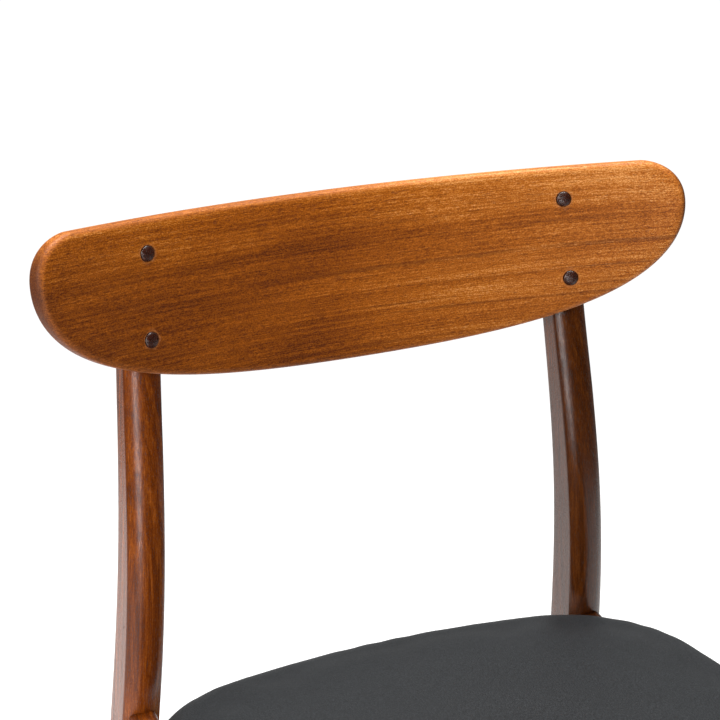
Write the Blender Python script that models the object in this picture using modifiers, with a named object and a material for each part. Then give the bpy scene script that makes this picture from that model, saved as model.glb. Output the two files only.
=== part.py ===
"""Dining chair: a bent wooden backrest plugged to two curved rear legs, and a padded seat on a rail frame.

Metres, +Z up.  The chair faces -Y and is the same on both sides of X = 0.  The origin is on the floor,
under the middle of the chair's bounding box.
"""

import math

import bmesh
import bpy
from mathutils import Matrix, Vector

# Clearance between neighbouring pieces, the distance at which points are welded, and the two hands of each
# paired piece.
GAP = 0.0003
WELD = 0.00001
SIDES = {"left": -1, "right": 1}
UP = Vector((0, 0, 1))

# Backrest: a board bent round an upright cylinder and leaning back.  Distances along the board, up it and
# into it are measured from the middle of its front face.
BACKREST_MIDDLE = Vector((0, 0.1830, 0.7212))
BACKREST_RADIUS = 0.491
BACKREST_LEAN = math.radians(6.9)
BACKREST_THICKNESS = 0.0117
BACKREST_ROUNDING = 0.0050
BACKREST_HALF_LENGTH = 0.2314
BACKREST_TOP = 0.0489
BACKREST_BOTTOM = -0.0652
BACKREST_WIDEST = 0.0194
BACKREST_SHOULDER = 0.2030
SHOULDER_HANDLES = (0.0500, 0.0015)
END_HANDLES = (0.0266, 0.0289)
LOWEST_HANDLE = 0.2025
BACKREST_STATIONS = 20

# Plugs over the backrest screws: places along and up the board.
PLUG_ALONG = {"upper": 0.1487, "lower": 0.1513}
PLUG_UP = {"upper": 0.0272, "lower": -0.0272}
PLUG_RADIUS = 0.0050
PLUG_DEPTH = 0.0044
PLUG_PROUD = 0.0016
PLUG_STEPS = 16
PLUG_HOLE_CLEAR = 0.0100

# Rear legs: height, front, back, crown of the front face, thickness.  The outer face is a sloping plane.
REAR_LEG_SHAPE = (
    (0.7570, 0.1680, 0.1940, 0.0040, 0.0248),
    (0.6814, 0.1639, 0.1860, 0.0045, 0.0248),
    (0.6014, 0.1536, 0.1791, 0.0050, 0.0252),
    (0.5414, 0.1493, 0.1783, 0.0054, 0.0255),
    (0.4814, 0.1512, 0.1834, 0.0056, 0.0258),
    (0.4114, 0.1605, 0.1943, 0.0056, 0.0260),
    (0.3314, 0.1755, 0.2081, 0.0054, 0.0258),
    (0.0043, 0.2500, 0.2720, 0.0040, 0.0215),
)
REAR_LEG_RINGS = 20
REAR_LEG_OUTER_TOP = 0.1603
REAR_LEG_SPLAY = 0.0675
REAR_LEG_TOP_ROUNDING = 0.0070
REAR_LEG_CORNER = 0.0022
REAR_LEG_CROWN_STEPS = 3

# Rail frame.  The rear rail is set down below the others, and leans with the rear legs.
FRAME_TOP = 0.4292
RAIL_BOTTOM = 0.3830
RAIL_THICKNESS = 0.0180
RAIL_OVERLAP = 0.0100
REAR_RAIL_TOP = 0.4130
REAR_RAIL_BOTTOM = 0.3690
SIDE_RAIL_REAR = Vector((0.1688, 0.1730, 0))
SIDE_RAIL_REAR_TOP = 0.4392
SIDE_RAIL_RAMP = (0.014, 0.050)
SIDE_RAIL_ARCH = 0.0080
SIDE_RAIL_END = 0.0400
SIDE_RAIL_STEPS = 8
SIDE_RAIL_ROUNDING = 0.0045
CROSS_RAIL_ROUNDING = 0.0025
REAR_RAIL_SET_BACK = 0.0062

# Front legs: turned, splayed outward and forward.
FRONT_LEG_TOP = Vector((0.1900, -0.2290, FRAME_TOP))
FRONT_LEG_FOOT = Vector((0.2130, -0.2440, 0.0043))
FRONT_LEG_SHAPE = ((0.000, 0.0168), (0.060, 0.0172), (0.130, 0.0168), (0.250, 0.0148), (0.426, 0.0108))
FRONT_LEG_RINGS = 7
TURNED_STEPS = 20
TRIM_LENGTH = 0.012
TRIM_BOX = (0.6, 0.2, 0.04)

# Dowels: radius, length, and how far each goes into the leg.
DOWEL_RADIUS = 0.0040
DOWEL_LENGTH = 0.0360
DOWEL_IN_LEG = 0.0135
SMALL_STEPS = 12
SIDE_DOWEL_HEIGHTS = {"upper": 0.4205, "lower": 0.4010}
FRONT_DOWEL_HEIGHTS = {"upper": 0.4110, "lower": 0.3915}
REAR_DOWEL_HEIGHTS = {"upper": 0.3915, "lower": 0.3770}

# Corner blocks: legs of the triangle along its two rails, and the cut-off corner next to the leg.  Their
# screws start a share of the way along the triangle's long face, sunk below it.
BLOCK_HEIGHT = 0.0230
BLOCK_TOP = {"rear": REAR_RAIL_TOP - 0.0020, "front": FRAME_TOP - 0.0025}
BLOCK_LENGTH = 0.0560
BLOCK_CUT_CORNER = {"rear": (0.0080, 0.0180), "front": (0.0230, 0.0260)}
BLOCK_SCREW_SHARE = 0.42
BLOCK_SCREW_SUNK = 0.0020

# Countersunk screws.  An entry is how far a counterbore runs back from the head.
SCREW_HEAD = 0.0042
SCREW_SHANK = 0.0021
SCREW_HEAD_HEIGHT = 0.0024
SCREW_POINT = 0.0030
BACKREST_SCREW_LENGTH = 0.0195
BLOCK_SCREW_LENGTH = 0.0300
SEAT_SCREW_LENGTH = 0.0360
SEAT_SCREW_HEAD_HEIGHT = 0.4040
SEAT_SCREW_ALONG = {"rear": 0.105, "front": 0.315}
BACKREST_SCREW_ENTRY = 0.0010
BLOCK_SCREW_ENTRY = 0.0200
SEAT_SCREW_ENTRY = 0.0400

# Seat: a plan outline of arcs and two straight sides, and an edge that is a quarter round above and a small
# roll below.  The rear edge is a wide arc.
SEAT_REAR = 0.1619
SEAT_FRONT = -0.2720
SEAT_REAR_BOW = 0.610
SEAT_REAR_CORNER = 0.109
SEAT_SIDE = Vector((0.2112, -0.0500))
SEAT_SIDE_FLARE = math.radians(5.3)
SEAT_FRONT_CORNER = 0.060
SEAT_FRONT_CORNER_Y = -0.2010
SEAT_WIDEST = 0.4374
SEAT_EDGE_ROUNDING = 0.0230
SEAT_UNDER_ROUNDING = 0.0061
SEAT_EDGE_BAND = 0.0005
SEAT_LAYER_CLEAR = 0.0010
SEAT_MIDDLE_Y = -0.0570
SEAT_CROWN = ((0.80, 0.0030), (0.45, 0.0050))
COVER_THICKNESS = 0.0015
COVER_TURNED_UNDER = 0.0300
COVER_MOUTH_REACH = 0.0050
BOARD_THICKNESS = 0.0100
BOARD_INSET = 0.0085
DUST_COVER_THICKNESS = 0.0008
DUST_COVER_INSET = 0.0140

# Glides nailed under the feet, a little behind the middle of the rear feet.
GLIDE_RADIUS = 0.0090
GLIDE_HEIGHT = 0.0040
GLIDE_PIN_RADIUS = 0.0012
GLIDE_PIN_LENGTH = 0.0140
GLIDE_PIN_POINT = 0.0020
GLIDE_CHAMFER = (0.0014, 0.0012)
GLIDE_SET_BACK = 0.0008
GLIDE_HOLE_CLEAR = 0.0030


# ---------------------------------------------------------------------------------------------- scene helpers


def clear_scene():
    for obj in list(bpy.data.objects):
        bpy.data.objects.remove(obj, do_unlink=True)


def new_collection(name):
    collection = bpy.data.collections.new(name)
    bpy.context.scene.collection.children.link(collection)
    return collection


def new_material(name, colour, roughness, metallic=0.0):
    material = bpy.data.materials.new(name)
    material.use_nodes = True
    material.diffuse_color = (*colour, 1)
    shader = material.node_tree.nodes["Principled BSDF"]
    shader.inputs["Base Color"].default_value = (*colour, 1)
    shader.inputs["Roughness"].default_value = roughness
    shader.inputs["Metallic"].default_value = metallic
    return material


def add_part(name, mesh, material):
    obj = bpy.data.objects.new(name, mesh)
    PARTS.objects.link(obj)
    obj.data.materials.clear()
    obj.data.materials.append(material)
    return obj


def add_cutter(name, mesh):
    obj = bpy.data.objects.new(name, mesh)
    CUTTERS.objects.link(obj)
    obj.hide_render = True
    obj.display_type = "WIRE"
    return obj


def cut(obj, *cutters):
    for cutter in cutters:
        modifier = obj.modifiers.new(f"cut by {cutter.name}", "BOOLEAN")
        modifier.operation = "DIFFERENCE"
        modifier.solver = "EXACT"
        modifier.object = cutter


def place(obj, origin, direction):
    """Puts the object's own origin at a point, with its +Z along a direction."""
    obj.matrix_world = Matrix.Translation(origin) @ direction.to_track_quat("Z", "Y").to_matrix().to_4x4()
    return obj


# ---------------------------------------------------------------------------------------------- mesh helpers


def evaluated_mesh(obj, name):
    """The object's shape as a mesh of its own, welded where caps meet sides; the object itself is removed."""
    graph = bpy.context.evaluated_depsgraph_get()
    mesh = bpy.data.meshes.new_from_object(obj.evaluated_get(graph))
    mesh.name = name
    bpy.data.objects.remove(obj, do_unlink=True)
    edit = bmesh.new()
    edit.from_mesh(mesh)
    bmesh.ops.remove_doubles(edit, verts=edit.verts, dist=WELD)
    bmesh.ops.recalc_face_normals(edit, faces=edit.faces)
    edit.to_mesh(mesh)
    edit.free()
    return mesh


def outline_mesh(name, spline_type, points, half_depth, rounding=0.0, rounding_steps=2, resolution=10):
    """A closed flat outline in XY, extruded both ways along Z, with rounded edges.

    A point is (x, y), or (x, y, handle in, handle out) on a Bezier outline.
    """
    curve = bpy.data.curves.new(name, "CURVE")
    curve.dimensions = "2D"
    curve.fill_mode = "BOTH"
    curve.extrude = half_depth - rounding
    curve.bevel_depth = rounding
    curve.bevel_resolution = rounding_steps
    curve.offset = -rounding
    curve.resolution_u = resolution
    spline = curve.splines.new(spline_type)
    if spline_type == "POLY":
        spline.points.add(len(points) - 1)
        for knot, (x, y) in zip(spline.points, points):
            knot.co = (x, y, 0, 1)
    else:
        spline.bezier_points.add(len(points) - 1)
        for knot, (x, y, handle_in, handle_out) in zip(spline.bezier_points, points):
            knot.co = (x, y, 0)
            knot.handle_left = (x + handle_in[0], y + handle_in[1], 0)
            knot.handle_right = (x + handle_out[0], y + handle_out[1], 0)
    spline.use_cyclic_u = True
    helper = bpy.data.objects.new(name, curve)
    CUTTERS.objects.link(helper)
    return evaluated_mesh(helper, name)


def turned_mesh(name, profile, steps):
    """A solid of revolution about Z.  The profile is (radius, height) points, top to bottom."""
    mesh = bpy.data.meshes.new(name)
    mesh.from_pydata([(radius, 0, height) for radius, height in profile], [], [])
    mesh.edges.add(len(profile) - 1)
    for index, edge in enumerate(mesh.edges):
        edge.vertices = (index, index + 1)
    helper = bpy.data.objects.new(name, mesh)
    CUTTERS.objects.link(helper)
    screw = helper.modifiers.new("turn", "SCREW")
    screw.axis = "Z"
    screw.angle = math.tau
    screw.steps = steps
    screw.render_steps = steps
    screw.use_merge_vertices = True
    screw.merge_threshold = WELD
    return evaluated_mesh(helper, name)


def loft_mesh(name, rings):
    """A closed solid through rings of points, each ring with the same number of points."""
    edit = bmesh.new()
    loops = [[edit.verts.new(point) for point in ring] for ring in rings]
    for lower, upper in zip(loops, loops[1:]):
        for index in range(len(lower)):
            following = (index + 1) % len(lower)
            edit.faces.new((lower[index], lower[following], upper[following], upper[index]))
    edit.faces.new(loops[0])
    edit.faces.new(loops[-1])
    bmesh.ops.recalc_face_normals(edit, faces=edit.faces)
    mesh = bpy.data.meshes.new(name)
    edit.to_mesh(mesh)
    edit.free()
    return mesh


def shade_round(obj, angle=35):
    obj.data.shade_smooth()
    obj.data.set_sharp_from_angle(angle=math.radians(angle))


def smooth_row(rows, position):
    """The values of a table at a position in its first column, on a smooth curve through its rows."""
    last = len(rows) - 1

    def slope(index, column):
        before, after = rows[max(index - 1, 0)], rows[min(index + 1, last)]
        return (after[column] - before[column]) / (after[0] - before[0])

    index = 0
    while index < last - 1 and (position - rows[index + 1][0]) * (rows[1][0] - rows[0][0]) > 0:
        index += 1
    start, end = rows[index], rows[index + 1]
    step = end[0] - start[0]
    t = (position - start[0]) / step
    values = []
    for column in range(1, len(start)):
        value = (2 * t**3 - 3 * t**2 + 1) * start[column] + (3 * t**2 - 2 * t**3) * end[column]
        value += step * (t**3 - 2 * t**2 + t) * slope(index, column)
        value += step * (t**3 - t**2) * slope(index + 1, column)
        values.append(value)
    return values


# ---------------------------------------------------------------------------------------------- backrest


def on_backrest(along, up, depth):
    """A point of the bent board: along its curve, up its face, and behind its front face."""
    angle = along / BACKREST_RADIUS
    across = (BACKREST_RADIUS + depth) * math.sin(angle)
    back = (BACKREST_RADIUS + depth) * math.cos(angle) - BACKREST_RADIUS
    cosine, sine = math.cos(BACKREST_LEAN), math.sin(BACKREST_LEAN)
    return BACKREST_MIDDLE + Vector((across, back * cosine + up * sine, up * cosine - back * sine))


def into_backrest(along):
    """The direction square into the board's front face."""
    return (on_backrest(along, 0, 1) - on_backrest(along, 0, 0)).normalized()


def backrest_mesh(name, grow=0.0):
    half = BACKREST_HALF_LENGTH + grow
    top, bottom = BACKREST_TOP + grow, BACKREST_BOTTOM - grow
    inner, outer = SHOULDER_HANDLES
    above, below = END_HANDLES
    knots = [
        (BACKREST_SHOULDER, top, (-inner, 0), (outer, 0)),
        (half, BACKREST_WIDEST, (0, above), (0, -below)),
        (0, bottom, (LOWEST_HANDLE, 0), (-LOWEST_HANDLE, 0)),
        (-half, BACKREST_WIDEST, (0, -below), (0, above)),
        (-BACKREST_SHOULDER, top, (-outer, 0), (inner, 0)),
    ]
    half_depth = BACKREST_THICKNESS / 2 + grow
    mesh = outline_mesh(name, "BEZIER", knots, half_depth, BACKREST_ROUNDING, rounding_steps=1, resolution=8)
    edit = bmesh.new()
    edit.from_mesh(mesh)
    for station in range(1, BACKREST_STATIONS):
        along = half * (2 * station / BACKREST_STATIONS - 1)
        geometry = edit.verts[:] + edit.edges[:] + edit.faces[:]
        bmesh.ops.bisect_plane(edit, geom=geometry, dist=WELD, plane_co=(along, 0, 0), plane_no=(1, 0, 0))
    for vertex in edit.verts:
        along, up, depth = vertex.co
        vertex.co = on_backrest(along, up, BACKREST_THICKNESS / 2 - depth)
    bmesh.ops.remove_doubles(edit, verts=edit.verts, dist=WELD)
    bmesh.ops.recalc_face_normals(edit, faces=edit.faces)
    edit.to_mesh(mesh)
    edit.free()
    return mesh


def plug_profile():
    """A plug about its own axis, domed above height 0."""
    dome = [math.radians(degrees) for degrees in (0, 30, 60, 90)]
    profile = [(PLUG_RADIUS * math.sin(angle), PLUG_PROUD * math.cos(angle)) for angle in dome]
    return profile + [(PLUG_RADIUS, -PLUG_DEPTH), (0, -PLUG_DEPTH)]


# ---------------------------------------------------------------------------------------------- fasteners


def screw_profile(length, grow=0.0):
    """A countersunk screw hanging down from its head's flat face at height 0."""
    head, shank = SCREW_HEAD + grow, SCREW_SHANK + grow
    neck = -SCREW_HEAD_HEIGHT - grow
    tip = -length - grow
    return [(head, -grow), (shank, neck - grow), (shank, tip + SCREW_POINT), (0, tip)]


def screw_mesh(name, length):
    return turned_mesh(name, [(0, 0), *screw_profile(length)], SMALL_STEPS)


def screw_hole_mesh(name, length, entry):
    """The hole a screw sits in, with a counterbore that runs back from its head by the entry length."""
    head = SCREW_HEAD + GAP
    return turned_mesh(name, [(0, entry), (head, entry), *screw_profile(length, GAP)], SMALL_STEPS)


def add_screw(name, head, direction, length, entry, pieces):
    """A screw with its head at a point, going in along a direction, and its hole through the pieces."""
    place(add_part(name, screw_mesh(name, length), STEEL), head, -direction)
    hole = place(add_cutter(f"hole.{name}", screw_hole_mesh(f"hole.{name}", length, entry)), head, -direction)
    for piece in pieces:
        cut(piece, hole)


def cylinder_profile(radius, top, bottom):
    return [(0, top), (radius, top), (radius, bottom), (0, bottom)]


def add_dowel(name, surface, into_leg, leg, rail):
    """A dowel across the joint between a leg and a rail, and its blind holes in both."""
    far = DOWEL_IN_LEG
    near = DOWEL_IN_LEG - DOWEL_LENGTH
    mesh = turned_mesh(name, cylinder_profile(DOWEL_RADIUS, far, near), SMALL_STEPS)
    place(add_part(name, mesh, BEECH), surface, into_leg)
    bore = cylinder_profile(DOWEL_RADIUS + GAP, far + GAP, near - GAP)
    hole = add_cutter(f"hole.{name}", turned_mesh(f"hole.{name}", bore, SMALL_STEPS))
    place(hole, surface, into_leg)
    cut(leg, hole)
    cut(rail, hole)


# ---------------------------------------------------------------------------------------------- legs


def rear_leg_outer(height):
    top = REAR_LEG_SHAPE[0][0]
    return REAR_LEG_OUTER_TOP + REAR_LEG_SPLAY * (top - height)


def rear_leg_ring(side, height, grow=0.0, trim_back=0.0):
    """One level cross-section: a flat back and sides, and a front crowned between two crisp edges."""
    front, back, crown, thickness = smooth_row(REAR_LEG_SHAPE, height)
    front -= grow
    back += grow - trim_back
    half = thickness / 2 + grow
    middle = rear_leg_outer(height) - thickness / 2
    edge = front + crown
    corner = REAR_LEG_CORNER
    eased = corner * (1 - math.sqrt(0.5))
    radius = (half**2 + crown**2) / (2 * crown)
    sweep = math.asin(half / radius)
    points = [(half, back - corner), (half - eased, back - eased), (half - corner, back)]
    points += [(-x, y) for x, y in reversed(points)]
    points.append((-half, edge))
    for step in range(1 - REAR_LEG_CROWN_STEPS, REAR_LEG_CROWN_STEPS):
        angle = sweep * step / REAR_LEG_CROWN_STEPS
        points.append((radius * math.sin(angle), front + radius * (1 - math.cos(angle))))
    points.append((half, edge))
    return [(side * (middle + x), y, height) for x, y in points]


def rear_leg_mesh(name, side, grow=0.0):
    top = REAR_LEG_SHAPE[0][0]
    foot = REAR_LEG_SHAPE[-1][0]
    rounded = REAR_LEG_TOP_ROUNDING
    heights = [foot + (top - rounded - foot) * index / REAR_LEG_RINGS for index in range(REAR_LEG_RINGS + 1)]
    rings = [rear_leg_ring(side, height, grow) for height in heights]
    for degrees in (30, 60, 90):
        rise = rounded * math.sin(math.radians(degrees))
        trim = rounded * (1 - math.cos(math.radians(degrees)))
        rings.append(rear_leg_ring(side, top - rounded + rise, grow, trim))
    return loft_mesh(name, rings)


def front_leg_axis(side):
    foot = Vector((side * FRONT_LEG_FOOT.x, FRONT_LEG_FOOT.y, FRONT_LEG_FOOT.z))
    top = Vector((side * FRONT_LEG_TOP.x, FRONT_LEG_TOP.y, FRONT_LEG_TOP.z))
    return top, (top - foot).normalized()


def front_leg_mesh(name, grow=0.0):
    """The turned leg about its own axis with its top end at the origin, both ends left long for trimming."""
    length = FRONT_LEG_SHAPE[-1][0]
    profile = [(FRONT_LEG_SHAPE[0][1] + grow, TRIM_LENGTH)]
    for index in range(FRONT_LEG_RINGS + 1):
        down = length * index / FRONT_LEG_RINGS
        profile.append((smooth_row(FRONT_LEG_SHAPE, down)[0] + grow, -down))
    profile.append((FRONT_LEG_SHAPE[-1][1] + grow, -length - TRIM_LENGTH))
    return turned_mesh(name, [(0, TRIM_LENGTH), *profile, (0, -length - TRIM_LENGTH)], TURNED_STEPS)


def trim_box(name, middle, size):
    bpy.ops.mesh.primitive_cube_add(size=1, location=middle)
    box = bpy.context.object
    mesh = box.data
    mesh.transform(Matrix.Diagonal((*size, 1)))
    location = box.matrix_world.copy()
    bpy.data.objects.remove(box, do_unlink=True)
    cutter = add_cutter(name, mesh)
    cutter.matrix_world = location
    return cutter


# ---------------------------------------------------------------------------------------------- rails


def rail_matrix(origin, along, rise=UP):
    """Local X along the rail, local Y up it, local Z across it."""
    across = along.cross(rise).normalized()
    columns = Matrix((along, rise, across)).transposed().to_4x4()
    return Matrix.Translation(origin) @ columns


def rear_leg_rake():
    """The direction up the rear legs' front faces over the height of the rear rail."""
    lower = smooth_row(REAR_LEG_SHAPE, REAR_RAIL_BOTTOM)[0]
    upper = smooth_row(REAR_LEG_SHAPE, REAR_RAIL_TOP)[0]
    return Vector((0, upper - lower, REAR_RAIL_TOP - REAR_RAIL_BOTTOM)).normalized()


def rear_rail_middle(height):
    """The middle of the raked rear rail at a height."""
    middle_height = (REAR_RAIL_BOTTOM + REAR_RAIL_TOP) / 2
    rake = rear_leg_rake()
    face = smooth_row(REAR_LEG_SHAPE, middle_height)[0] + REAR_RAIL_SET_BACK
    middle = face + RAIL_THICKNESS / 2 / rake.z
    return Vector((0, middle + (height - middle_height) * rake.y / rake.z, height))


def side_rail_ends(side):
    rear = Vector((side * SIDE_RAIL_REAR.x, SIDE_RAIL_REAR.y, 0))
    front = Vector((side * FRONT_LEG_TOP.x, FRONT_LEG_TOP.y, 0))
    return rear, front


def side_rail_mesh(name, length):
    """Side view of the side rail: a raised nose at the rear leg, a level top, and a shallow arch below."""
    ramp_start, ramp_end = SIDE_RAIL_RAMP
    points = [(0, SIDE_RAIL_REAR_TOP)]
    for step in range(SIDE_RAIL_STEPS + 1):
        share = step / SIDE_RAIL_STEPS
        drop = (SIDE_RAIL_REAR_TOP - FRAME_TOP) * (1 - math.cos(math.pi * share)) / 2
        points.append((ramp_start + (ramp_end - ramp_start) * share, SIDE_RAIL_REAR_TOP - drop))
    points += [(length, FRAME_TOP), (length, RAIL_BOTTOM)]
    for step in range(SIDE_RAIL_STEPS + 1):
        share = step / SIDE_RAIL_STEPS
        rise = SIDE_RAIL_ARCH * math.sin(math.pi * share) ** 1.5
        points.append((length - SIDE_RAIL_END - (length - 2 * SIDE_RAIL_END) * share, RAIL_BOTTOM + rise))
    points.append((0, RAIL_BOTTOM))
    return outline_mesh(name, "POLY", points, RAIL_THICKNESS / 2, SIDE_RAIL_ROUNDING, rounding_steps=1)


def cross_rail_mesh(name, half_length, height, grow=0.0):
    """A plain rail about its own middle."""
    half_height = height / 2 + grow
    half_depth = RAIL_THICKNESS / 2 + grow
    corners = [(-half_length, -half_height), (half_length, -half_height), (half_length, half_height)]
    corners.append((-half_length, half_height))
    return outline_mesh(name, "POLY", corners, half_depth, CROSS_RAIL_ROUNDING, rounding_steps=1)


# ---------------------------------------------------------------------------------------------- seat


def seat_rear_corner(normal, rearward):
    """Centres of the rear edge's wide arc and of the rear corner's arc, which touches it and the side."""
    bow_centre = Vector((0, SEAT_REAR - SEAT_REAR_BOW))
    start = SEAT_SIDE - normal * SEAT_REAR_CORNER
    offset = start - bow_centre
    middle = offset.dot(rearward)
    reach = SEAT_REAR_BOW - SEAT_REAR_CORNER
    length = math.sqrt(middle**2 - offset.length_squared + reach**2) - middle
    return bow_centre, start + rearward * length


def seat_outline(inset):
    """The seat's plan outline, moved inward by the inset, as points from the rear round the right side."""
    flare = SEAT_SIDE_FLARE
    normal = Vector((math.cos(flare), math.sin(flare)))
    forward = Vector((math.sin(flare), -math.cos(flare)))
    rear_bow_centre, rear_centre = seat_rear_corner(normal, -forward)
    rear_turn = math.atan2(rear_centre.y - rear_bow_centre.y, rear_centre.x)
    front_tangent = SEAT_SIDE + forward * ((SEAT_SIDE.y - SEAT_FRONT_CORNER_Y) / math.cos(flare))
    corner_centre = front_tangent - normal * SEAT_FRONT_CORNER
    # The front edge is a wide arc about (0, front + bow), touching both front corners from outside.
    ahead = corner_centre.y - SEAT_FRONT
    corner = SEAT_FRONT_CORNER
    bow = (corner_centre.x**2 + ahead**2 - corner**2) / (2 * (ahead - corner))
    bow_centre = Vector((0, SEAT_FRONT + bow))
    turn = math.atan2(corner_centre.y - bow_centre.y, corner_centre.x)
    arcs = [
        (rear_bow_centre, SEAT_REAR_BOW, math.pi / 2, rear_turn, 3),
        (rear_centre, SEAT_REAR_CORNER, rear_turn, flare, 8),
        (corner_centre, SEAT_FRONT_CORNER, flare, turn, 6),
        (bow_centre, bow, turn, -math.pi / 2, 3),
    ]
    right = []
    for centre, radius, start, end, steps in arcs:
        for step in range(steps + 1):
            angle = start + (end - start) * step / steps
            reach = radius - inset
            point = Vector((centre.x + reach * math.cos(angle), centre.y + reach * math.sin(angle)))
            if not right or (point - right[-1]).length > WELD:
                right.append(point)
    left = [Vector((-point.x, point.y)) for point in reversed(right) if point.x > WELD]
    return right + left


def ring_at(inset, height, scale=1.0):
    """The outline at an inset and height, drawn in towards the seat's middle by a scale."""
    middle = SEAT_MIDDLE_Y
    return [(x * scale, middle + (y - middle) * scale, height) for x, y in seat_outline(inset)]


def rounded_edge(offset):
    """Inset and height of the seat's edge, from the bottom up, with the surface moved inward by an offset."""
    under = SEAT_UNDER_ROUNDING
    upper = SEAT_EDGE_ROUNDING
    band = SEAT_WIDEST - SEAT_EDGE_BAND
    rings = []
    for degrees in (90, 45, 0):
        angle = math.radians(degrees)
        reach = under - offset
        rings.append((under - reach * math.cos(angle), band - reach * math.sin(angle)))
    for degrees in (18, 36, 54, 72, 90):
        angle = math.radians(degrees)
        reach = upper - offset
        rings.append((upper - reach * math.cos(angle), SEAT_WIDEST + reach * math.sin(angle)))
    return rings


def seat_rings(offset, lowest=None):
    rings = rounded_edge(offset)
    if lowest is not None:
        above = [ring for ring in rings if ring[1] > lowest + SEAT_LAYER_CLEAR]
        rings = [(above[0][0], lowest), *above]
    top_inset, top_height = rings[-1]
    crown = [ring_at(top_inset, top_height + rise, scale) for scale, rise in SEAT_CROWN]
    return [ring_at(inset, height) for inset, height in rings] + crown


def seat_underside():
    return SEAT_WIDEST - SEAT_EDGE_BAND - SEAT_UNDER_ROUNDING


def flat_seat_layer(name, inset, bottom, thickness):
    return loft_mesh(name, [ring_at(inset, bottom), ring_at(inset, bottom + thickness)])


# ---------------------------------------------------------------------------------------------- assembly


def build_rear_legs():
    legs = {}
    for word, side in SIDES.items():
        leg = add_part(f"rear_leg_{word}", rear_leg_mesh(f"rear_leg_{word}", side), WALNUT)
        shade_round(leg)
        legs[word] = leg
    return legs


def build_front_legs():
    legs = {}
    half_height = TRIM_BOX[2] / 2
    above = trim_box("trim.leg_tops", (0, FRONT_LEG_TOP.y, FRAME_TOP + half_height), TRIM_BOX)
    below = trim_box("trim.leg_feet", (0, FRONT_LEG_FOOT.y, FRONT_LEG_FOOT.z - half_height), TRIM_BOX)
    for word, side in SIDES.items():
        leg = add_part(f"front_leg_{word}", front_leg_mesh(f"front_leg_{word}"), WALNUT)
        place(leg, *front_leg_axis(side))
        cut(leg, above, below)
        shade_round(leg)
        legs[word] = leg
    return legs


def build_backrest(rear_legs):
    panel = add_part("backrest_panel", backrest_mesh("backrest_panel"), TEAK)
    envelope = add_cutter("hollow.backrest", backrest_mesh("hollow.backrest", GAP))
    for leg in rear_legs.values():
        cut(leg, envelope)
    pocket = cylinder_profile(PLUG_RADIUS + GAP, PLUG_HOLE_CLEAR, -PLUG_DEPTH - GAP)
    for word, side in SIDES.items():
        for level, up in PLUG_UP.items():
            along = side * PLUG_ALONG[level]
            surface = on_backrest(along, up, 0)
            inward = into_backrest(along)
            name = f"backrest_plug_{level}_{word}"
            plug = add_part(name, turned_mesh(name, plug_profile(), PLUG_STEPS), ROSEWOOD)
            place(plug, surface, -inward)
            shade_round(plug)
            seat = add_cutter(f"hole.{name}", turned_mesh(f"hole.{name}", pocket, PLUG_STEPS))
            place(seat, surface, -inward)
            cut(panel, seat)
            head = on_backrest(along, up, PLUG_DEPTH + GAP)
            name = f"backrest_screw_{level}_{word}"
            pieces = (panel, rear_legs[word])
            add_screw(name, head, inward, BACKREST_SCREW_LENGTH, BACKREST_SCREW_ENTRY, pieces)
    shade_round(panel)


def build_side_rails(rear_legs, front_legs):
    rails = {}
    for word, side in SIDES.items():
        rear, front = side_rail_ends(side)
        along = (front - rear).normalized()
        length = (front - rear).length
        rail = add_part(f"side_rail_{word}", side_rail_mesh(f"side_rail_{word}", length), WALNUT)
        rail.matrix_world = rail_matrix(rear, along)
        cut(rail, REAR_LEG_SPACES[word], FRONT_LEG_SPACES[word])
        for level, height in SIDE_DOWEL_HEIGHTS.items():
            front_face = smooth_row(REAR_LEG_SHAPE, height)[0]
            entry = rear + along * ((rear.y - front_face) / -along.y) + UP * height
            add_dowel(f"dowel_side_rear_{level}_{word}", entry, -along, rear_legs[word], rail)
            entry = front - along * FRONT_LEG_SHAPE[0][1] + UP * height
            add_dowel(f"dowel_side_front_{level}_{word}", entry, along, front_legs[word], rail)
        shade_round(rail)
        rails[word] = rail
    return rails


def build_rear_rail(rear_legs):
    middle_height = (REAR_RAIL_BOTTOM + REAR_RAIL_TOP) / 2
    height = REAR_RAIL_TOP - REAR_RAIL_BOTTOM
    half = rear_leg_outer(middle_height) - smooth_row(REAR_LEG_SHAPE, middle_height)[3] + RAIL_OVERLAP
    rail = add_part("rear_rail", cross_rail_mesh("rear_rail", half, height), WALNUT)
    rail.matrix_world = rail_matrix(rear_rail_middle(middle_height), Vector((1, 0, 0)), rear_leg_rake())
    cut(rail, *REAR_LEG_SPACES.values())
    space = add_cutter("space.rear_rail", cross_rail_mesh("space.rear_rail", half, height, GAP))
    space.matrix_world = rail.matrix_world
    for word, side in SIDES.items():
        for level, level_height in REAR_DOWEL_HEIGHTS.items():
            face = rear_leg_outer(level_height) - smooth_row(REAR_LEG_SHAPE, level_height)[3]
            entry = rear_rail_middle(level_height) + Vector((side * face, 0, 0))
            add_dowel(f"dowel_rear_{level}_{word}", entry, Vector((side, 0, 0)), rear_legs[word], rail)
    shade_round(rail)
    return rail, space


def build_front_rail(front_legs):
    half = FRONT_LEG_TOP.x
    rail = add_part("front_rail", cross_rail_mesh("front_rail", half, FRAME_TOP - RAIL_BOTTOM), WALNUT)
    middle = Vector((0, FRONT_LEG_TOP.y, (RAIL_BOTTOM + FRAME_TOP) / 2))
    rail.matrix_world = rail_matrix(middle, Vector((1, 0, 0)))
    cut(rail, *FRONT_LEG_SPACES.values())
    for word, side in SIDES.items():
        for level, height in FRONT_DOWEL_HEIGHTS.items():
            face = half - FRONT_LEG_SHAPE[0][1]
            entry = Vector((side * face, FRONT_LEG_TOP.y, height))
            add_dowel(f"dowel_front_{level}_{word}", entry, Vector((side, 0, 0)), front_legs[word], rail)
    shade_round(rail)
    return rail


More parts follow.
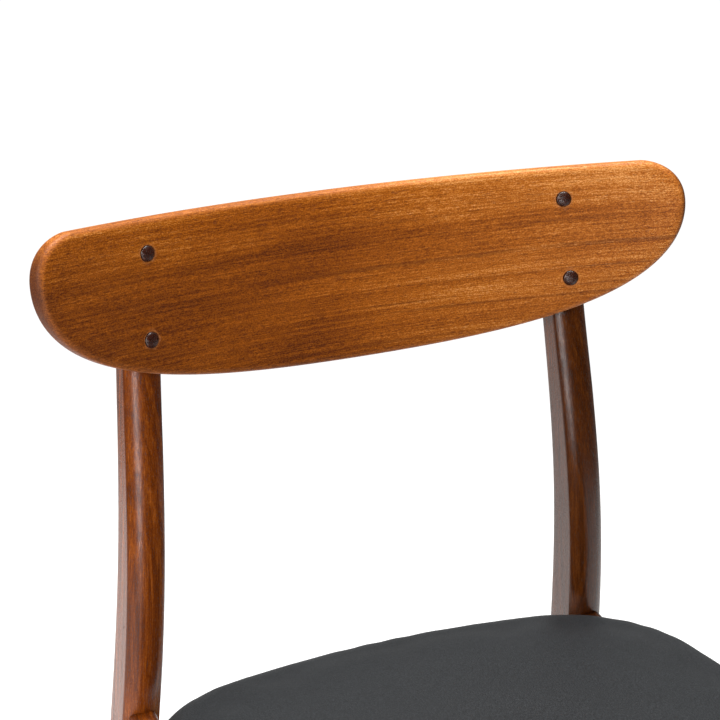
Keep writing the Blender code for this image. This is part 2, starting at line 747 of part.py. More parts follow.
def corner_block_outline(where, side):
    """The block's plan, two points on each of its rails' faces, and which way along Y it runs inward."""
    rear, front = side_rail_ends(side)
    along = (front - rear).normalized()
    if where == "rear":
        cross_face = rear_rail_middle(BLOCK_TOP[where] - BLOCK_HEIGHT).y - RAIL_THICKNESS / 2
        run = -1
    else:
        cross_face = FRONT_LEG_TOP.y + RAIL_THICKNESS / 2 + GAP
        run = 1
    inset = (RAIL_THICKNESS / 2 + GAP) / abs(along.y)

    def side_face(y):
        """The side rail's inner face, as a distance from the chair's middle."""
        return side * (rear + along * ((y - rear.y) / along.y)).x - inset

    cut_across, cut_along = BLOCK_CUT_CORNER[where]
    corner = side_face(cross_face) - cut_across
    near = cross_face + run * cut_along
    far = near + run * BLOCK_LENGTH
    outline = [(corner - BLOCK_LENGTH, cross_face), (corner, cross_face)]
    outline += [(side_face(near), near), (side_face(far), far)]
    return [Vector((side * x, y)) for x, y in outline], run


def build_corner_block(where, word, side_rail, cross_rail, cross_rail_space=None):
    """A triangular block glued and screwed into the corner between a side rail and the front or rear rail."""
    side = SIDES[word]
    outline, run = corner_block_outline(where, side)
    name = f"corner_block_{where}_{word}"
    block = add_part(name, outline_mesh(name, "POLY", outline, BLOCK_HEIGHT / 2), BEECH)
    block.location.z = BLOCK_TOP[where] - BLOCK_HEIGHT / 2
    if cross_rail_space:
        cut(block, cross_rail_space)
    on_cross, on_side = outline[0], outline[3]
    slope = abs((on_side.x - on_cross.x) / (on_side.y - on_cross.y))
    screws = (
        ("side", Vector((side, 0, 0)), on_side.lerp(on_cross, BLOCK_SCREW_SHARE), slope, side_rail),
        ("cross", Vector((0, -run, 0)), on_cross.lerp(on_side, BLOCK_SCREW_SHARE), 1 / slope, cross_rail),
    )
    for way, inward, start, steepness, rail in screws:
        head = Vector((*start, block.location.z)) + inward * (SCREW_HEAD * steepness + BLOCK_SCREW_SUNK)
        screw = f"block_screw_{where}_{way}_{word}"
        add_screw(screw, head, inward, BLOCK_SCREW_LENGTH, BLOCK_SCREW_ENTRY, (block, rail))


def build_seat(side_rails):
    underside = seat_underside()
    board_bottom = underside + COVER_THICKNESS + GAP
    board_mesh = flat_seat_layer("seat_board", BOARD_INSET, board_bottom, BOARD_THICKNESS)
    board = add_part("seat_board", board_mesh, PLYWOOD)
    foam_bottom = board_bottom + BOARD_THICKNESS + GAP
    foam = add_part("seat_foam", loft_mesh("seat_foam", seat_rings(COVER_THICKNESS + GAP, foam_bottom)), FOAM)
    cover = add_part("seat_cover", loft_mesh("seat_cover", seat_rings(0)), LEATHER)
    cavity = add_cutter("hollow.seat_cover", loft_mesh("hollow.seat_cover", seat_rings(COVER_THICKNESS)))
    reach = COVER_MOUTH_REACH
    mouth_mesh = flat_seat_layer("mouth.seat_cover", COVER_TURNED_UNDER, underside - reach, 2 * reach)
    mouth = add_cutter("mouth.seat_cover", mouth_mesh)
    cut(cover, cavity, mouth)
    dust_bottom = underside - GAP - DUST_COVER_THICKNESS
    dust_mesh = flat_seat_layer("dust_cover", DUST_COVER_INSET, dust_bottom, DUST_COVER_THICKNESS)
    dust_cover = add_part("dust_cover", dust_mesh, BLACK_CLOTH)
    for word, side in SIDES.items():
        rear, front = side_rail_ends(side)
        along = (front - rear).normalized()
        for where, distance in SEAT_SCREW_ALONG.items():
            head = rear + along * distance + UP * SEAT_SCREW_HEAD_HEIGHT
            name = f"seat_screw_{where}_{word}"
            pieces = (side_rails[word], dust_cover, cover, board)
            add_screw(name, head, UP, SEAT_SCREW_LENGTH, SEAT_SCREW_ENTRY, pieces)
    shade_round(foam)
    shade_round(cover)


def glide_profile():
    radius = GLIDE_RADIUS
    tip = GLIDE_HEIGHT + GLIDE_PIN_LENGTH
    across, up = GLIDE_CHAMFER
    return [
        (0, tip),
        (GLIDE_PIN_RADIUS, tip - GLIDE_PIN_POINT),
        (GLIDE_PIN_RADIUS, GLIDE_HEIGHT),
        (radius, GLIDE_HEIGHT),
        (radius, up),
        (radius - across, 0),
        (0, 0),
    ]


def build_glides(rear_legs, front_legs):
    height = REAR_LEG_SHAPE[-1][0]
    front, back, _, thickness = REAR_LEG_SHAPE[-1][1:]
    rear_x = rear_leg_outer(height) - thickness / 2
    feet = {
        "front": (FRONT_LEG_FOOT.x, FRONT_LEG_FOOT.y, front_legs),
        "rear": (rear_x, (front + back) / 2 + GLIDE_SET_BACK, rear_legs),
    }
    top = GLIDE_HEIGHT + GLIDE_PIN_LENGTH + GAP
    pin_hole = cylinder_profile(GLIDE_PIN_RADIUS + GAP, top, GLIDE_HEIGHT - GLIDE_HOLE_CLEAR)
    for where, (x, y, legs) in feet.items():
        for word, side in SIDES.items():
            name = f"foot_glide_{where}_{word}"
            glide = add_part(name, turned_mesh(name, glide_profile(), TURNED_STEPS), NYLON)
            glide.location = (side * x, y, 0)
            shade_round(glide)
            hole = add_cutter(f"hole.{name}", turned_mesh(f"hole.{name}", pin_hole, SMALL_STEPS))
            hole.location = (side * x, y, 0)
            cut(legs[word], hole)


clear_scene()
PARTS = new_collection("dining_chair")
CUTTERS = new_collection("cutters")

TEAK = new_material("teak", (0.36, 0.15, 0.04), 0.42)
WALNUT = new_material("walnut_stain", (0.17, 0.06, 0.03), 0.40)
ROSEWOOD = new_material("dark_plug_wood", (0.030, 0.014, 0.010), 0.35)
BEECH = new_material("beech", (0.62, 0.42, 0.25), 0.60)
PLYWOOD = new_material("plywood", (0.60, 0.45, 0.28), 0.70)
FOAM = new_material("foam", (0.80, 0.72, 0.50), 0.95)
LEATHER = new_material("black_leather", (0.040, 0.048, 0.048), 0.45)
BLACK_CLOTH = new_material("black_cloth", (0.015, 0.015, 0.015), 0.90)
STEEL = new_material("zinc_steel", (0.60, 0.60, 0.58), 0.35, 1.0)
NYLON = new_material("brown_nylon", (0.07, 0.045, 0.035), 0.50)

REAR_LEG_SPACES = {}
FRONT_LEG_SPACES = {}
for hand, sign in SIDES.items():
    REAR_LEG_SPACES[hand] = add_cutter(f"space.rear_leg_{hand}", rear_leg_mesh("space.rear_leg", sign, GAP))
    space = add_cutter(f"space.front_leg_{hand}", front_leg_mesh("space.front_leg", GAP))
    FRONT_LEG_SPACES[hand] = place(space, *front_leg_axis(sign))

REAR_LEGS = build_rear_legs()
FRONT_LEGS = build_front_legs()
build_backrest(REAR_LEGS)
SIDE_RAILS = build_side_rails(REAR_LEGS, FRONT_LEGS)
REAR_RAIL, REAR_RAIL_SPACE = build_rear_rail(REAR_LEGS)
FRONT_RAIL = build_front_rail(FRONT_LEGS)
for hand in SIDES:
    build_corner_block("rear", hand, SIDE_RAILS[hand], REAR_RAIL, REAR_RAIL_SPACE)
    build_corner_block("front", hand, SIDE_RAILS[hand], FRONT_RAIL)
build_seat(SIDE_RAILS)
build_glides(REAR_LEGS, FRONT_LEGS)
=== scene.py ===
"""Looks of the dining chair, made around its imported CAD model.

Metres, +Z up, in the CAD's frame: the chair stands on Z = 0 and faces -Y.  Each wooden piece is made again
with finer edges and a mesh attribute "grain", which says where each point lies in the timber: X along the
fibres, Y and Z across them.  The seat pad is inflated by a cloth simulation.
"""

import math
from contextlib import contextmanager

import bmesh
import bpy
import numpy as np
from mathutils import Matrix, Vector


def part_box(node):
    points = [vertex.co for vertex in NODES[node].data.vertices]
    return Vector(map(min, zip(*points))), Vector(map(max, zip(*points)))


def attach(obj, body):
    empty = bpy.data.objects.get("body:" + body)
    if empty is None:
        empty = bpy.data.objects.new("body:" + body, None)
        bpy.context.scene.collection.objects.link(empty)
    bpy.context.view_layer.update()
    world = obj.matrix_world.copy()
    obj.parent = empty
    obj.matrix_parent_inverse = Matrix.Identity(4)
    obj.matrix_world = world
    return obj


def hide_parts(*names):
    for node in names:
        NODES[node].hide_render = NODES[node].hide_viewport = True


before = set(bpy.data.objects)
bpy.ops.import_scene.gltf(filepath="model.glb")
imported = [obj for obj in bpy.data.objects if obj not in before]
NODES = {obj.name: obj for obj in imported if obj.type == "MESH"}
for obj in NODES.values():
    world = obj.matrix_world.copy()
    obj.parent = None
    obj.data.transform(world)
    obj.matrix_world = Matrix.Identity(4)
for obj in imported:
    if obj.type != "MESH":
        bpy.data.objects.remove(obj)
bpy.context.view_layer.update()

SIDES = {"left": -1, "right": 1}
UP = Vector((0, 0, 1))
# The gap left round a piece that another one is cut to fit.
SNUG = 0.00012
# How far the darker edge tone reaches on the legs and rails.
WOOD_EDGES = 0.0022

# Backrest: a board bent round an upright cylinder.  Distances are along it, up it and in from its front face.
BACKREST_MIDDLE = Vector((0, 0.1830, 0.7212))
BACKREST_RADIUS = 0.491
BACKREST_LEAN = math.radians(6.9)
LEAN_COSINE, LEAN_SINE = math.cos(BACKREST_LEAN), math.sin(BACKREST_LEAN)
BACKREST_THICKNESS = 0.0117
BACKREST_ROUNDING = 0.0035
BACKREST_HALF_LENGTH = 0.2314
BACKREST_TOP = 0.0489
BACKREST_BOTTOM = -0.0652
BACKREST_WIDEST = 0.0194
BACKREST_SHOULDER = 0.2030
SHOULDER_HANDLES = (0.0500, 0.0015)
END_HANDLES = (0.0266, 0.0289)
LOWEST_HANDLE = 0.2025
# How far the front face falls back toward its edges, and over what width.
BACKREST_EASED = 0.0012
BACKREST_EASED_WIDTH = 0.0210
BACKREST_COLUMNS = 200
BACKREST_ROWS = 24
PLUG_RADIUS = 0.0050
PLUG_PROUD = 0.0016
PLUG_DEPTH = 0.0044
HOLE_CHAMFER = 0.0005
PLUG_EASE = 0.0003
SCREW_HOLE_RADIUS = 0.0023
# Points round the plugs, their holes and the glides, and round a screw's counterbore.
ROUND_STEPS = 48
BORE_STEPS = 32

# Rear legs: height, front, back, crown of the front face, thickness.
REAR_LEG_SHAPE = (
    (0.7570, 0.1680, 0.1940, 0.0040, 0.0248),
    (0.6814, 0.1639, 0.1860, 0.0045, 0.0248),
    (0.6014, 0.1536, 0.1791, 0.0050, 0.0252),
    (0.5414, 0.1493, 0.1783, 0.0054, 0.0255),
    (0.4814, 0.1512, 0.1834, 0.0056, 0.0258),
    (0.4114, 0.1605, 0.1943, 0.0056, 0.0260),
    (0.3314, 0.1755, 0.2081, 0.0054, 0.0258),
    (0.0043, 0.2500, 0.2720, 0.0040, 0.0215),
)
REAR_LEG_OUTER_TOP = 0.1603
REAR_LEG_SPLAY = 0.0675
REAR_LEG_TOP_ROUNDING = 0.0070
REAR_LEG_CORNER = 0.0022
ARRIS = 0.0004
REAR_LEG_FOOT_EASE = 0.0007
REAR_LEG_TOP_EASE = 0.0010
REAR_LEG_RINGS = 110

# Rail frame and front legs.
FRAME_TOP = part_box("front_leg_left")[1].z
RAIL_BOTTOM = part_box("front_rail")[0].z
RAIL_THICKNESS = 0.0180
SIDE_RAIL_REAR = Vector((0.1688, 0.1730, 0))
SIDE_RAIL_REAR_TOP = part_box("side_rail_left")[1].z
SIDE_RAIL_RAMP = (0.014, 0.050)
SIDE_RAIL_ARCH = 0.0080
SIDE_RAIL_END = 0.0400
SIDE_RAIL_STEPS = 24
SIDE_RAIL_ROUNDING = 0.0045
CROSS_RAIL_ROUNDING = 0.0025
RAIL_OVERLAP = 0.0100
REAR_RAIL_TOP = 0.4130
REAR_RAIL_BOTTOM = 0.3690
REAR_RAIL_SET_BACK = 0.0062
COUNTERBORE_RADIUS = 0.0045
FRONT_LEG_TOP = Vector((0.1900, -0.2290, FRAME_TOP))
FRONT_LEG_FOOT = Vector((0.2130, -0.2440, 0.0043))
# Distance down from the top, and radius.
FRONT_LEG_SHAPE = ((0.000, 0.0168), (0.060, 0.0172), (0.130, 0.0168), (0.250, 0.0148), (0.426, 0.0108))
FRONT_LEG_EASE = 0.0008
FRONT_LEG_RINGS = 60
FRONT_LEG_STEPS = 56

# Fasteners.  Profiles give a radius and a height, or for the dowel's end a distance along it and an inset.
SCREW_HEAD = 0.0041
SCREW_NECK = (0.0021, -0.0024)
SCREW_SHANK = 0.0016
SCREW_THREAD = 0.0005
SCREW_PITCH = 0.0018
SCREW_TIP = 0.0035
SCREW_STEPS = 24
STEPS_PER_TURN = 6
# The blade that cuts each slot of the cross recess: its outline seen along the slot, and half its width.
RECESS_BLADE = (
    (-0.0022, 0.0005), (0.0022, 0.0005), (0.0022, 0), (0.0008, -0.0016), (-0.0008, -0.0016), (-0.0022, 0),
)
RECESS_HALF_WIDTH = 0.00042
DOWEL_RADIUS = 0.0040
DOWEL_END = ((0, 0.0009), (0.0009, 0.0001), (0.002, 0))
DOWEL_FLUTES = 12
FLUTE_DEPTH = 0.00025
DOWEL_STEPS = 72
GLIDE_FOOT = (
    (0.0016, 0.0009), (0.0022, 0.0007), (0.0030, 0.0001), (0.0036, 0.0), (0.0076, 0.0), (0.0084, 0.0003),
    (0.0089, 0.0009), (0.0090, 0.0016), (0.0090, 0.0036), (0.0086, 0.0040), (0.0012, 0.0040),
)
STAPLE_WIDTH, STAPLE_THICKNESS, STAPLE_CROWN, STAPLE_LEG = 0.0011, 0.00042, 0.0098, 0.0012
STAPLE_SHOULDER = 0.0004
STAPLES = 46

# Seat: plan outline made of arcs.
SEAT_LOW, SEAT_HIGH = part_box("seat_cover")
SEAT_REAR_BOW = 0.610
SEAT_REAR_CORNER = 0.109
SEAT_SIDE = np.array([0.2112, -0.0500])
SEAT_SIDE_FLARE = math.radians(5.3)
SEAT_FRONT_CORNER = 0.060
SEAT_FRONT_CORNER_Y = -0.2010
SEAT_WIDEST = SEAT_LOW.z + 0.0066
SEAT_EDGE_ROUNDING = 0.0230
SEAT_UNDER_ROUNDING = 0.0061
SEAT_UNDER_CENTRE = SEAT_WIDEST - 0.0005
SEAT_MIDDLE_Y = -0.0570
# Crowns: the share of the outline's size, and the height above its edge.
LEATHER_CROWN = ((0.90, 0.0016), (0.70, 0.0039), (0.45, 0.0050), (0.2, 0.0052))
FOAM_CROWN = ((0.90, 0.0016), (0.70, 0.0038), (0.45, 0.0048), (0.2, 0.0050))
LEATHER_THICKNESS = 0.0013
FOAM_GAP = 0.0006
LEATHER_TURNED_UNDER = 0.0300
# The cloth simulation starts a little inside the pad's shape and is held below a height over its underside.
PAD_START = 0.0003
PAD_VOXEL = 0.005
PAD_HELD = 0.007
PAD_SHRINK_LIMIT = 0.0002
PAD_SWELL_LIMIT = 0.0030
PAD_SLIDE_LIMIT = 0.0008
PAD_FRAMES = 20
PAD_BLURS = 8
# Points less than this above the underside are pressed flat onto it.
PAD_FLAT = 0.0012
PULL_SPACING = 0.0285
PULL_DEPTH = 0.0009
PULL_REACH = 0.035
DUST_COVER_INSET = 0.0140
DUST_COVER_THICKNESS = 0.0006
DUST_COVER_SAG = 0.0026
VENEER = 0.00143


# ---------------------------------------------------------------------------------------------- mesh helpers


def add_object(name, data):
    data.name = name
    obj = bpy.data.objects.new(name, data)
    bpy.context.scene.collection.objects.link(obj)
    return obj


def drop(*objects):
    """Removes helper objects."""
    for obj in objects:
        bpy.data.objects.remove(obj, do_unlink=True)


@contextmanager
def editing(mesh):
    """The mesh as a bmesh, which goes back into it afterwards."""
    edit = bmesh.new()
    edit.from_mesh(mesh)
    yield edit
    edit.to_mesh(mesh)
    edit.free()


def face_outward(mesh):
    with editing(mesh) as edit:
        bmesh.ops.recalc_face_normals(edit, faces=edit.faces)
    return mesh


def new_mesh(points, faces):
    mesh = bpy.data.meshes.new("mesh")
    mesh.from_pydata(points.tolist(), [], faces)
    return face_outward(mesh)


def faces_between(index):
    """The faces between rings, from the numbers of their points."""
    following = np.roll(index, -1, axis=1)
    return np.stack([index[:-1], following[:-1], following[1:], index[1:]], axis=-1).reshape(-1, 4).tolist()


def loft(rings):
    """A closed mesh through rings of points, each ring with the same number of points."""
    rings = np.asarray(rings, float)
    index = np.arange(rings.shape[0] * rings.shape[1]).reshape(rings.shape[:2])
    ends = [index[0][::-1].tolist(), index[-1].tolist()]
    return new_mesh(rings.reshape(-1, 3), faces_between(index) + ends)


def round_ring(radii, height, x=0.0, y=0.0):
    """A level ring of points about a middle, from the radius at each of them."""
    angles = np.linspace(0, math.tau, len(radii), endpoint=False)
    return [(x + r * math.cos(a), y + r * math.sin(a), height) for r, a in zip(radii, angles)]


def turned(profile, steps):
    """A solid of revolution about Z, through the radii and heights of its profile."""
    return loft([round_ring([radius] * steps, height) for radius, height in profile])


def signed_area(outline):
    following = np.roll(outline, -1, axis=0)
    return (outline[:, 0] * following[:, 1] - outline[:, 1] * following[:, 0]).sum() / 2


def slab_rings(outline, half_depth, rounding, steps=5, shoulder=0.0012):
    """Rings round a flat outline, 2 * half_depth thick, with rounded edges and a flat strip beside them."""
    outline = np.asarray(outline, float)
    along = np.roll(outline, -1, axis=0) - outline
    along /= np.linalg.norm(along, axis=1)[:, None]
    outward = np.stack([along[:, 1], -along[:, 0]], axis=1)
    mitre = outward + np.roll(outward, 1, axis=0)
    mitre /= (mitre * outward).sum(1)[:, None]
    mitre *= math.copysign(1, signed_area(outline))
    angles = [math.pi / 2 * step / steps for step in range(steps + 1)]
    half = [(rounding + shoulder, half_depth)]
    half += [(rounding * (1 - math.sin(a)), half_depth - rounding * (1 - math.cos(a))) for a in angles]
    rings = half + [(inset, -depth) for inset, depth in reversed(half)]
    count = len(outline)
    return [np.column_stack([outline - mitre * inset, np.full(count, depth)]) for inset, depth in rings]


def modify(obj, kind, **settings):
    modifier = obj.modifiers.new(kind.lower(), kind)
    for name, value in settings.items():
        setattr(modifier, name, value)
    return modifier


def settle(obj):
    """Puts the object's modifiers into its mesh."""
    graph = bpy.context.evaluated_depsgraph_get()
    mesh = bpy.data.meshes.new_from_object(obj.evaluated_get(graph))
    obj.modifiers.clear()
    obj.data = mesh


def cut(obj, *cutters):
    """Cuts other meshes out of the object at once."""
    for cutter in cutters:
        modify(obj, "BOOLEAN", operation="DIFFERENCE", solver="EXACT", object=cutter)
    settle(obj)


def points_of(mesh):
    points = np.empty(len(mesh.vertices) * 3, np.float32)
    mesh.vertices.foreach_get("co", points)
    return points.reshape(-1, 3).astype(float)


def normals_of(mesh):
    return np.array([vertex.normal for vertex in mesh.vertices])


def put_points(mesh, points):
    mesh.vertices.foreach_set("co", np.asarray(points, np.float32).ravel())
    mesh.update()


def store(mesh, name, values):
    """Keeps a number or a vector for each point of the mesh, for its material to read."""
    values = np.asarray(values, np.float32)
    kind, key = ("FLOAT", "value") if values.ndim == 1 else ("FLOAT_VECTOR", "vector")
    mesh.attributes.new(name, kind, "POINT").data.foreach_set(key, values.ravel())


def store_edges(mesh, reach):
    """Stores "edge" on each point: how sharply the surface turns outward there, from 0 to 1."""
    edit = bmesh.new()
    edit.from_mesh(mesh)
    turning = np.zeros(len(edit.verts))
    for edge in edit.edges:
        if len(edge.link_faces) == 2 and edge.is_convex:
            first, second = edge.link_faces
            angle = first.normal.angle(second.normal, 0)
            width = (first.calc_center_median() - second.calc_center_median()).length
            bend = min(1.0, reach * angle / max(width, 0.0003))
            for vertex in edge.verts:
                turning[vertex.index] = max(turning[vertex.index], bend)
    edit.free()
    store(mesh, "edge", turning)


def smooth_row(rows, position):
    """The values of a table at a position, on a smooth curve through its rows.  Column one is position."""
    rows = np.array(rows)
    index = int(((position - rows[1:-1, 0]) * (rows[1, 0] - rows[0, 0]) > 0).sum())
    start, end = rows[index], rows[index + 1]
    slopes = [rows[min(i + 1, len(rows) - 1)] - rows[max(i - 1, 0)] for i in (index, index + 1)]
    step = end[0] - start[0]
    t = (position - start[0]) / step
    values = (2 * t**3 - 3 * t**2 + 1) * start + (3 * t**2 - 2 * t**3) * end
    values += step * (t**3 - 2 * t**2 + t) * (slopes[0] / slopes[0][0])
    values += step * (t**3 - t**2) * (slopes[1] / slopes[1][0])
    return values[1:].tolist()


def aim(origin, direction):
    """Moves local Z onto a direction, and the local origin to a place."""
    return Matrix.Translation(origin) @ Vector(direction).to_track_quat("Z", "Y").to_matrix().to_4x4()


def timber(obj, origin, along, across, offset):
    """Stores the grain of a straight piece of timber, with its fibres along a direction."""
    along = Vector(along).normalized()
    depth = along.cross(Vector(across)).normalized()
    axes = np.array([along, depth.cross(along), depth])
    store(obj.data, "grain", (points_of(obj.data) - np.array(origin)) @ axes.T + np.array(offset))


def finish_piece(obj, material, slot, *nodes, sharp=38, edges=None):
    """Shades a piece, gives it its material, and has it ride on the chair in place of its CAD nodes."""
    if edges:
        store_edges(obj.data, edges)
    if sharp:
        obj.data.shade_smooth()
        obj.data.set_sharp_from_angle(angle=math.radians(sharp))
    obj.data.materials.clear()
    obj.data.materials.append(material)
    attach(obj, "root")
    if nodes:
        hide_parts(*nodes)


# ---------------------------------------------------------------------------------------------- materials


def tone(red, green, blue):
    """A colour from screen values of 0 to 255, as light."""
    screen = (red, green, blue)
    return (*(((c / 255 + 0.055) / 1.055) ** 2.4 if c > 10 else c / 255 / 12.92 for c in screen), 1)


def tones(*rows):
    """A ramp's stops, from rows of a position and a colour's screen values."""
    return [(position, tone(*colour)) for position, *colour in rows]


def add_node(tree, kind, inputs=None, **settings):
    made = tree.nodes.new("ShaderNode" + kind)
    for name, value in settings.items():
        setattr(made, name, value)
    for key, value in (inputs or {}).items():
        if isinstance(value, bpy.types.NodeSocket):
            tree.links.new(value, made.inputs[key])
        else:
            made.inputs[key].default_value = value
    return made


class Look:
    """A material with one Principled shader, and short ways to add nodes to it."""

    def __init__(self, name, **constants):
        self.material = bpy.data.materials.new(name)
        self.material.use_nodes = True
        self.tree = self.material.node_tree
        self.shader = self.tree.nodes["Principled BSDF"]
        for socket, value in constants.items():
            self.shader.inputs[socket.replace("_", " ")].default_value = value

    def add(self, kind, inputs=None, **settings):
        return add_node(self.tree, kind, inputs, **settings)

    def stored(self, name, output="Vector"):
        return self.add("Attribute", attribute_name=name).outputs[output]

    def place(self):
        return self.add("TexCoord").outputs["Object"]

    def vector(self, operation, *values):
        return self.add("VectorMath", dict(enumerate(values)), operation=operation).outputs[0]

    def axes(self, vector):
        return self.add("SeparateXYZ", {0: vector}).outputs

    def math(self, operation, *values):
        return self.add("Math", dict(enumerate(values)), operation=operation).outputs[0]

    def times(self, first, second):
        return self.math("MULTIPLY", first, second)

    def plus(self, first, second):
        return self.math("ADD", first, second)

    def minus(self, first, second):
        return self.math("SUBTRACT", first, second)

    def between(self, value, low, high, to_low=0.0, to_high=1.0):
        """Maps a range to another, and stops at its ends."""
        return self.add("MapRange", {0: value, 1: low, 2: high, 3: to_low, 4: to_high}).outputs[0]

    def noise(self, place, scale, detail=2.0, rough=0.5, limits=None, key="Vector", output=0, **settings):
        """Noise over a place, with one scale or one for each axis; the limits become 0 and 1."""
        if isinstance(scale, tuple):
            place, scale = self.vector("MULTIPLY", place, scale), 1.0
        inputs = {key: place, "Scale": scale, "Detail": detail, "Roughness": rough}
        value = self.add("TexNoise", inputs, **settings).outputs[output]
        return self.between(value, *limits) if limits else value

    def wander(self, place, scale, detail):
        """A random vector about zero that changes slowly over a place."""
        return self.vector("ADD", self.noise(place, scale, detail, output=1), (-0.5, -0.5, -0.5))

    def cells(self, vector, scale, feature="F1"):
        return self.add("TexVoronoi", {"Vector": vector, "Scale": scale}, feature=feature).outputs["Distance"]

    def ramp(self, value, stops):
        made = self.add("ValToRGB", {0: value})
        elements = made.color_ramp.elements
        while len(elements) < len(stops):
            elements.new(0.5)
        for element, (position, colour) in zip(elements, stops):
            element.position = position
            element.color = colour
        return made.outputs[0]

    def mix(self, share, first, second):
        """Mixes a socket with another, or with a colour given in screen values."""
        if isinstance(second, tuple):
            second = tone(*second)
        return self.add("Mix", {"Factor": share, 6: first, 7: second}, data_type="RGBA").outputs[2]

    def dress(self, colour, roughness, height=None, depth=0.0):
        """Gives the shader its colour and roughness, and a bump of a depth in metres."""
        self.tree.links.new(colour, self.shader.inputs["Base Color"])
        self.tree.links.new(roughness, self.shader.inputs["Roughness"])
        if height is not None:
            bump = self.add("Bump", {"Height": height, "Distance": depth})
            self.tree.links.new(bump.outputs[0], self.shader.inputs["Normal"])
        return self.material


def wood(
    name, stops, pith, spacing, warp, pore, roughness, shares,
    lines=0.3, edge=None, end=None, ends=None, paler_and_lit_top=None, relief=0.00009, **constants,
):
    """Timber: growth rings about a pith line, dark lines, long streaks, fine specks, pores and a slow drift.

    The pith is a place across the grain, the spacing is that of the rings, and the warp bends them.  The
    shares say how much rings, streaks, fibres, specks and drift each change the tone, and the relief is the
    bump's depth.  Colours are in screen values: of pores and lines, of edges (a painted highlight on the teak,
    a darker tone on the walnut), and of end grain.  The ends can be darker and lighter as painted light and
    shade, and the top paler, partly as its own tone and partly as painted light from above.
    """
    look = Look(name, **constants)
    grain = look.stored("grain")
    bent = look.vector("MULTIPLY_ADD", look.wander(grain, (2.6, 9.0, 9.0), 1.0), (0, warp, warp), grain)
    _, across, depth = look.axes(look.vector("ADD", bent, (0, -pith[0], -pith[1])))
    ring = look.math("SQRT", look.plus(*(look.times(part, part) for part in (across, depth))))
    by_radius = {"key": "W", "noise_dimensions": "1D"}
    bands = look.noise(ring, 1 / spacing, 3.0, 0.55, (0.28, 0.72), **by_radius)
    thin = look.noise(ring, 3.1 / spacing, 1.0, 0.5, (0.55, 0.72), **by_radius)
    broken = look.noise(grain, (7, 60, 60), 2.0, limits=(0.42, 0.60))
    streaks = look.noise(bent, (9, 720, 720), 3.0, 0.7, (0.36, 0.64))
    fibres = look.noise(bent, (170, 1350, 1350), 2.0, 0.8, (0.38, 0.62))
    specks = look.noise(bent, (900, 1500, 1500), 1.0, 0.8, (0.38, 0.62))
    drift = look.noise(grain, (6, 19, 19), 2.5, limits=(0.32, 0.68))
    pores = look.noise(bent, (210, 1900, 1900), 1.0, limits=(0.63, 0.73))

    value = 0.5 - sum(shares) / 2
    for part, share in zip((bands, streaks, fibres, specks, drift), shares):
        value = look.math("MULTIPLY_ADD", part, share, value)
    # Painted light and shade: the tone shifts from the left end of the piece to its right end, darker at one
    # end and lighter at the other.
    if ends:
        value = look.plus(value, look.between(look.axes(grain)[0], -0.03, 0.07, *ends))
    # The top is paler: partly the timber's own tone, partly painted light from above.
    if paler_and_lit_top:
        value = look.plus(value, look.between(look.axes(grain)[1], 0.012, 0.048, 0.0, paler_and_lit_top))
    colour = look.ramp(value, stops)
    colour = look.mix(look.times(look.times(thin, broken), lines), colour, pore)
    # Convex edges take the edge tone: on the teak a painted highlight along its rounded edges, on the walnut a
    # darker tone.
    if edge:
        edge_share = look.times(look.stored("edge", "Fac"), look.between(fibres, 0.2, 0.9, 0.4, 0.9))
        colour = look.mix(edge_share, colour, edge)
    if end:
        colour = look.mix(look.times(look.stored("end", "Fac"), 0.75), colour, end)
    colour = look.mix(look.times(pores, 0.60), colour, pore)
    shine = look.between(value, 0.2, 0.8, roughness + 0.07, roughness - 0.06)
    shine = look.math("MULTIPLY_ADD", pores, 0.20, shine)
    height = look.minus(look.times(fibres, 0.35), pores)
    return look.dress(colour, shine, look.math("MULTIPLY_ADD", specks, 0.55, height), relief)


def teak():
    stops = tones(
        (0.04, 70, 27, 0), (0.30, 114, 54, 1), (0.56, 150, 78, 6), (0.78, 180, 106, 34), (1.00, 212, 148, 84)
    )
    # Painted light on the teak: the edge tone is a highlight on its rounded edges, the left end is darker and
    # the right end lighter, and the top is paler, partly from light above and partly its own tone.
    return wood(
        "teak", stops, (-0.34, 0.10), 0.0110, 0.010, (70, 26, 3), 0.46, (0.10, 0.26, 0.20, 0.32, 0.22),
        lines=0.44, edge=(188, 118, 68), end=(66, 30, 14), ends=(-0.15, 0.07), paler_and_lit_top=0.17,
        Specular_IOR_Level=0.19,
    )


def walnut_stain(name, depth):
    """Dark red-brown stained wood; a depth below 1 darkens it into a copy with painted shade."""
    rows = ((0.10, 58, 22, 3), (0.38, 98, 44, 8), (0.62, 128, 62, 14), (0.92, 168, 92, 33))
    stops = tones(*((position, *(value * depth for value in colour)) for position, *colour in rows))
    return wood(
        name, stops, (0.110, 0.160), 0.0050, 0.005, (34 * depth, 12 * depth, 4), 0.22,
        (0.28, 0.32, 0.16, 0.14, 0.14), lines=0.42, edge=(66 * depth, 28 * depth, 10 * depth), relief=0.00004,
        Specular_IOR_Level=0.29,
    )


def beech():
    stops = tones((0.10, 176, 134, 96), (0.40, 199, 159, 118), (0.65, 212, 175, 134), (0.90, 224, 192, 154))
    return wood(
        "beech", stops, (-0.12, 0.08), 0.0050, 0.008, (146, 98, 62), 0.62, (0.18, 0.20, 0.18, 0.16, 0.30),
        Specular_IOR_Level=0.3,
    )


def plug_wood():
    stops = tones((0.15, 26, 10, 5), (0.45, 42, 17, 9), (0.70, 58, 25, 14), (0.92, 88, 44, 27))
    return wood(
        "plug_wood", stops, (0.02, 0.03), 0.0022, 0.004, (16, 6, 3), 0.24, (0.18, 0.20, 0.18, 0.30, 0.30),
        Specular_IOR_Level=0.42,
    )


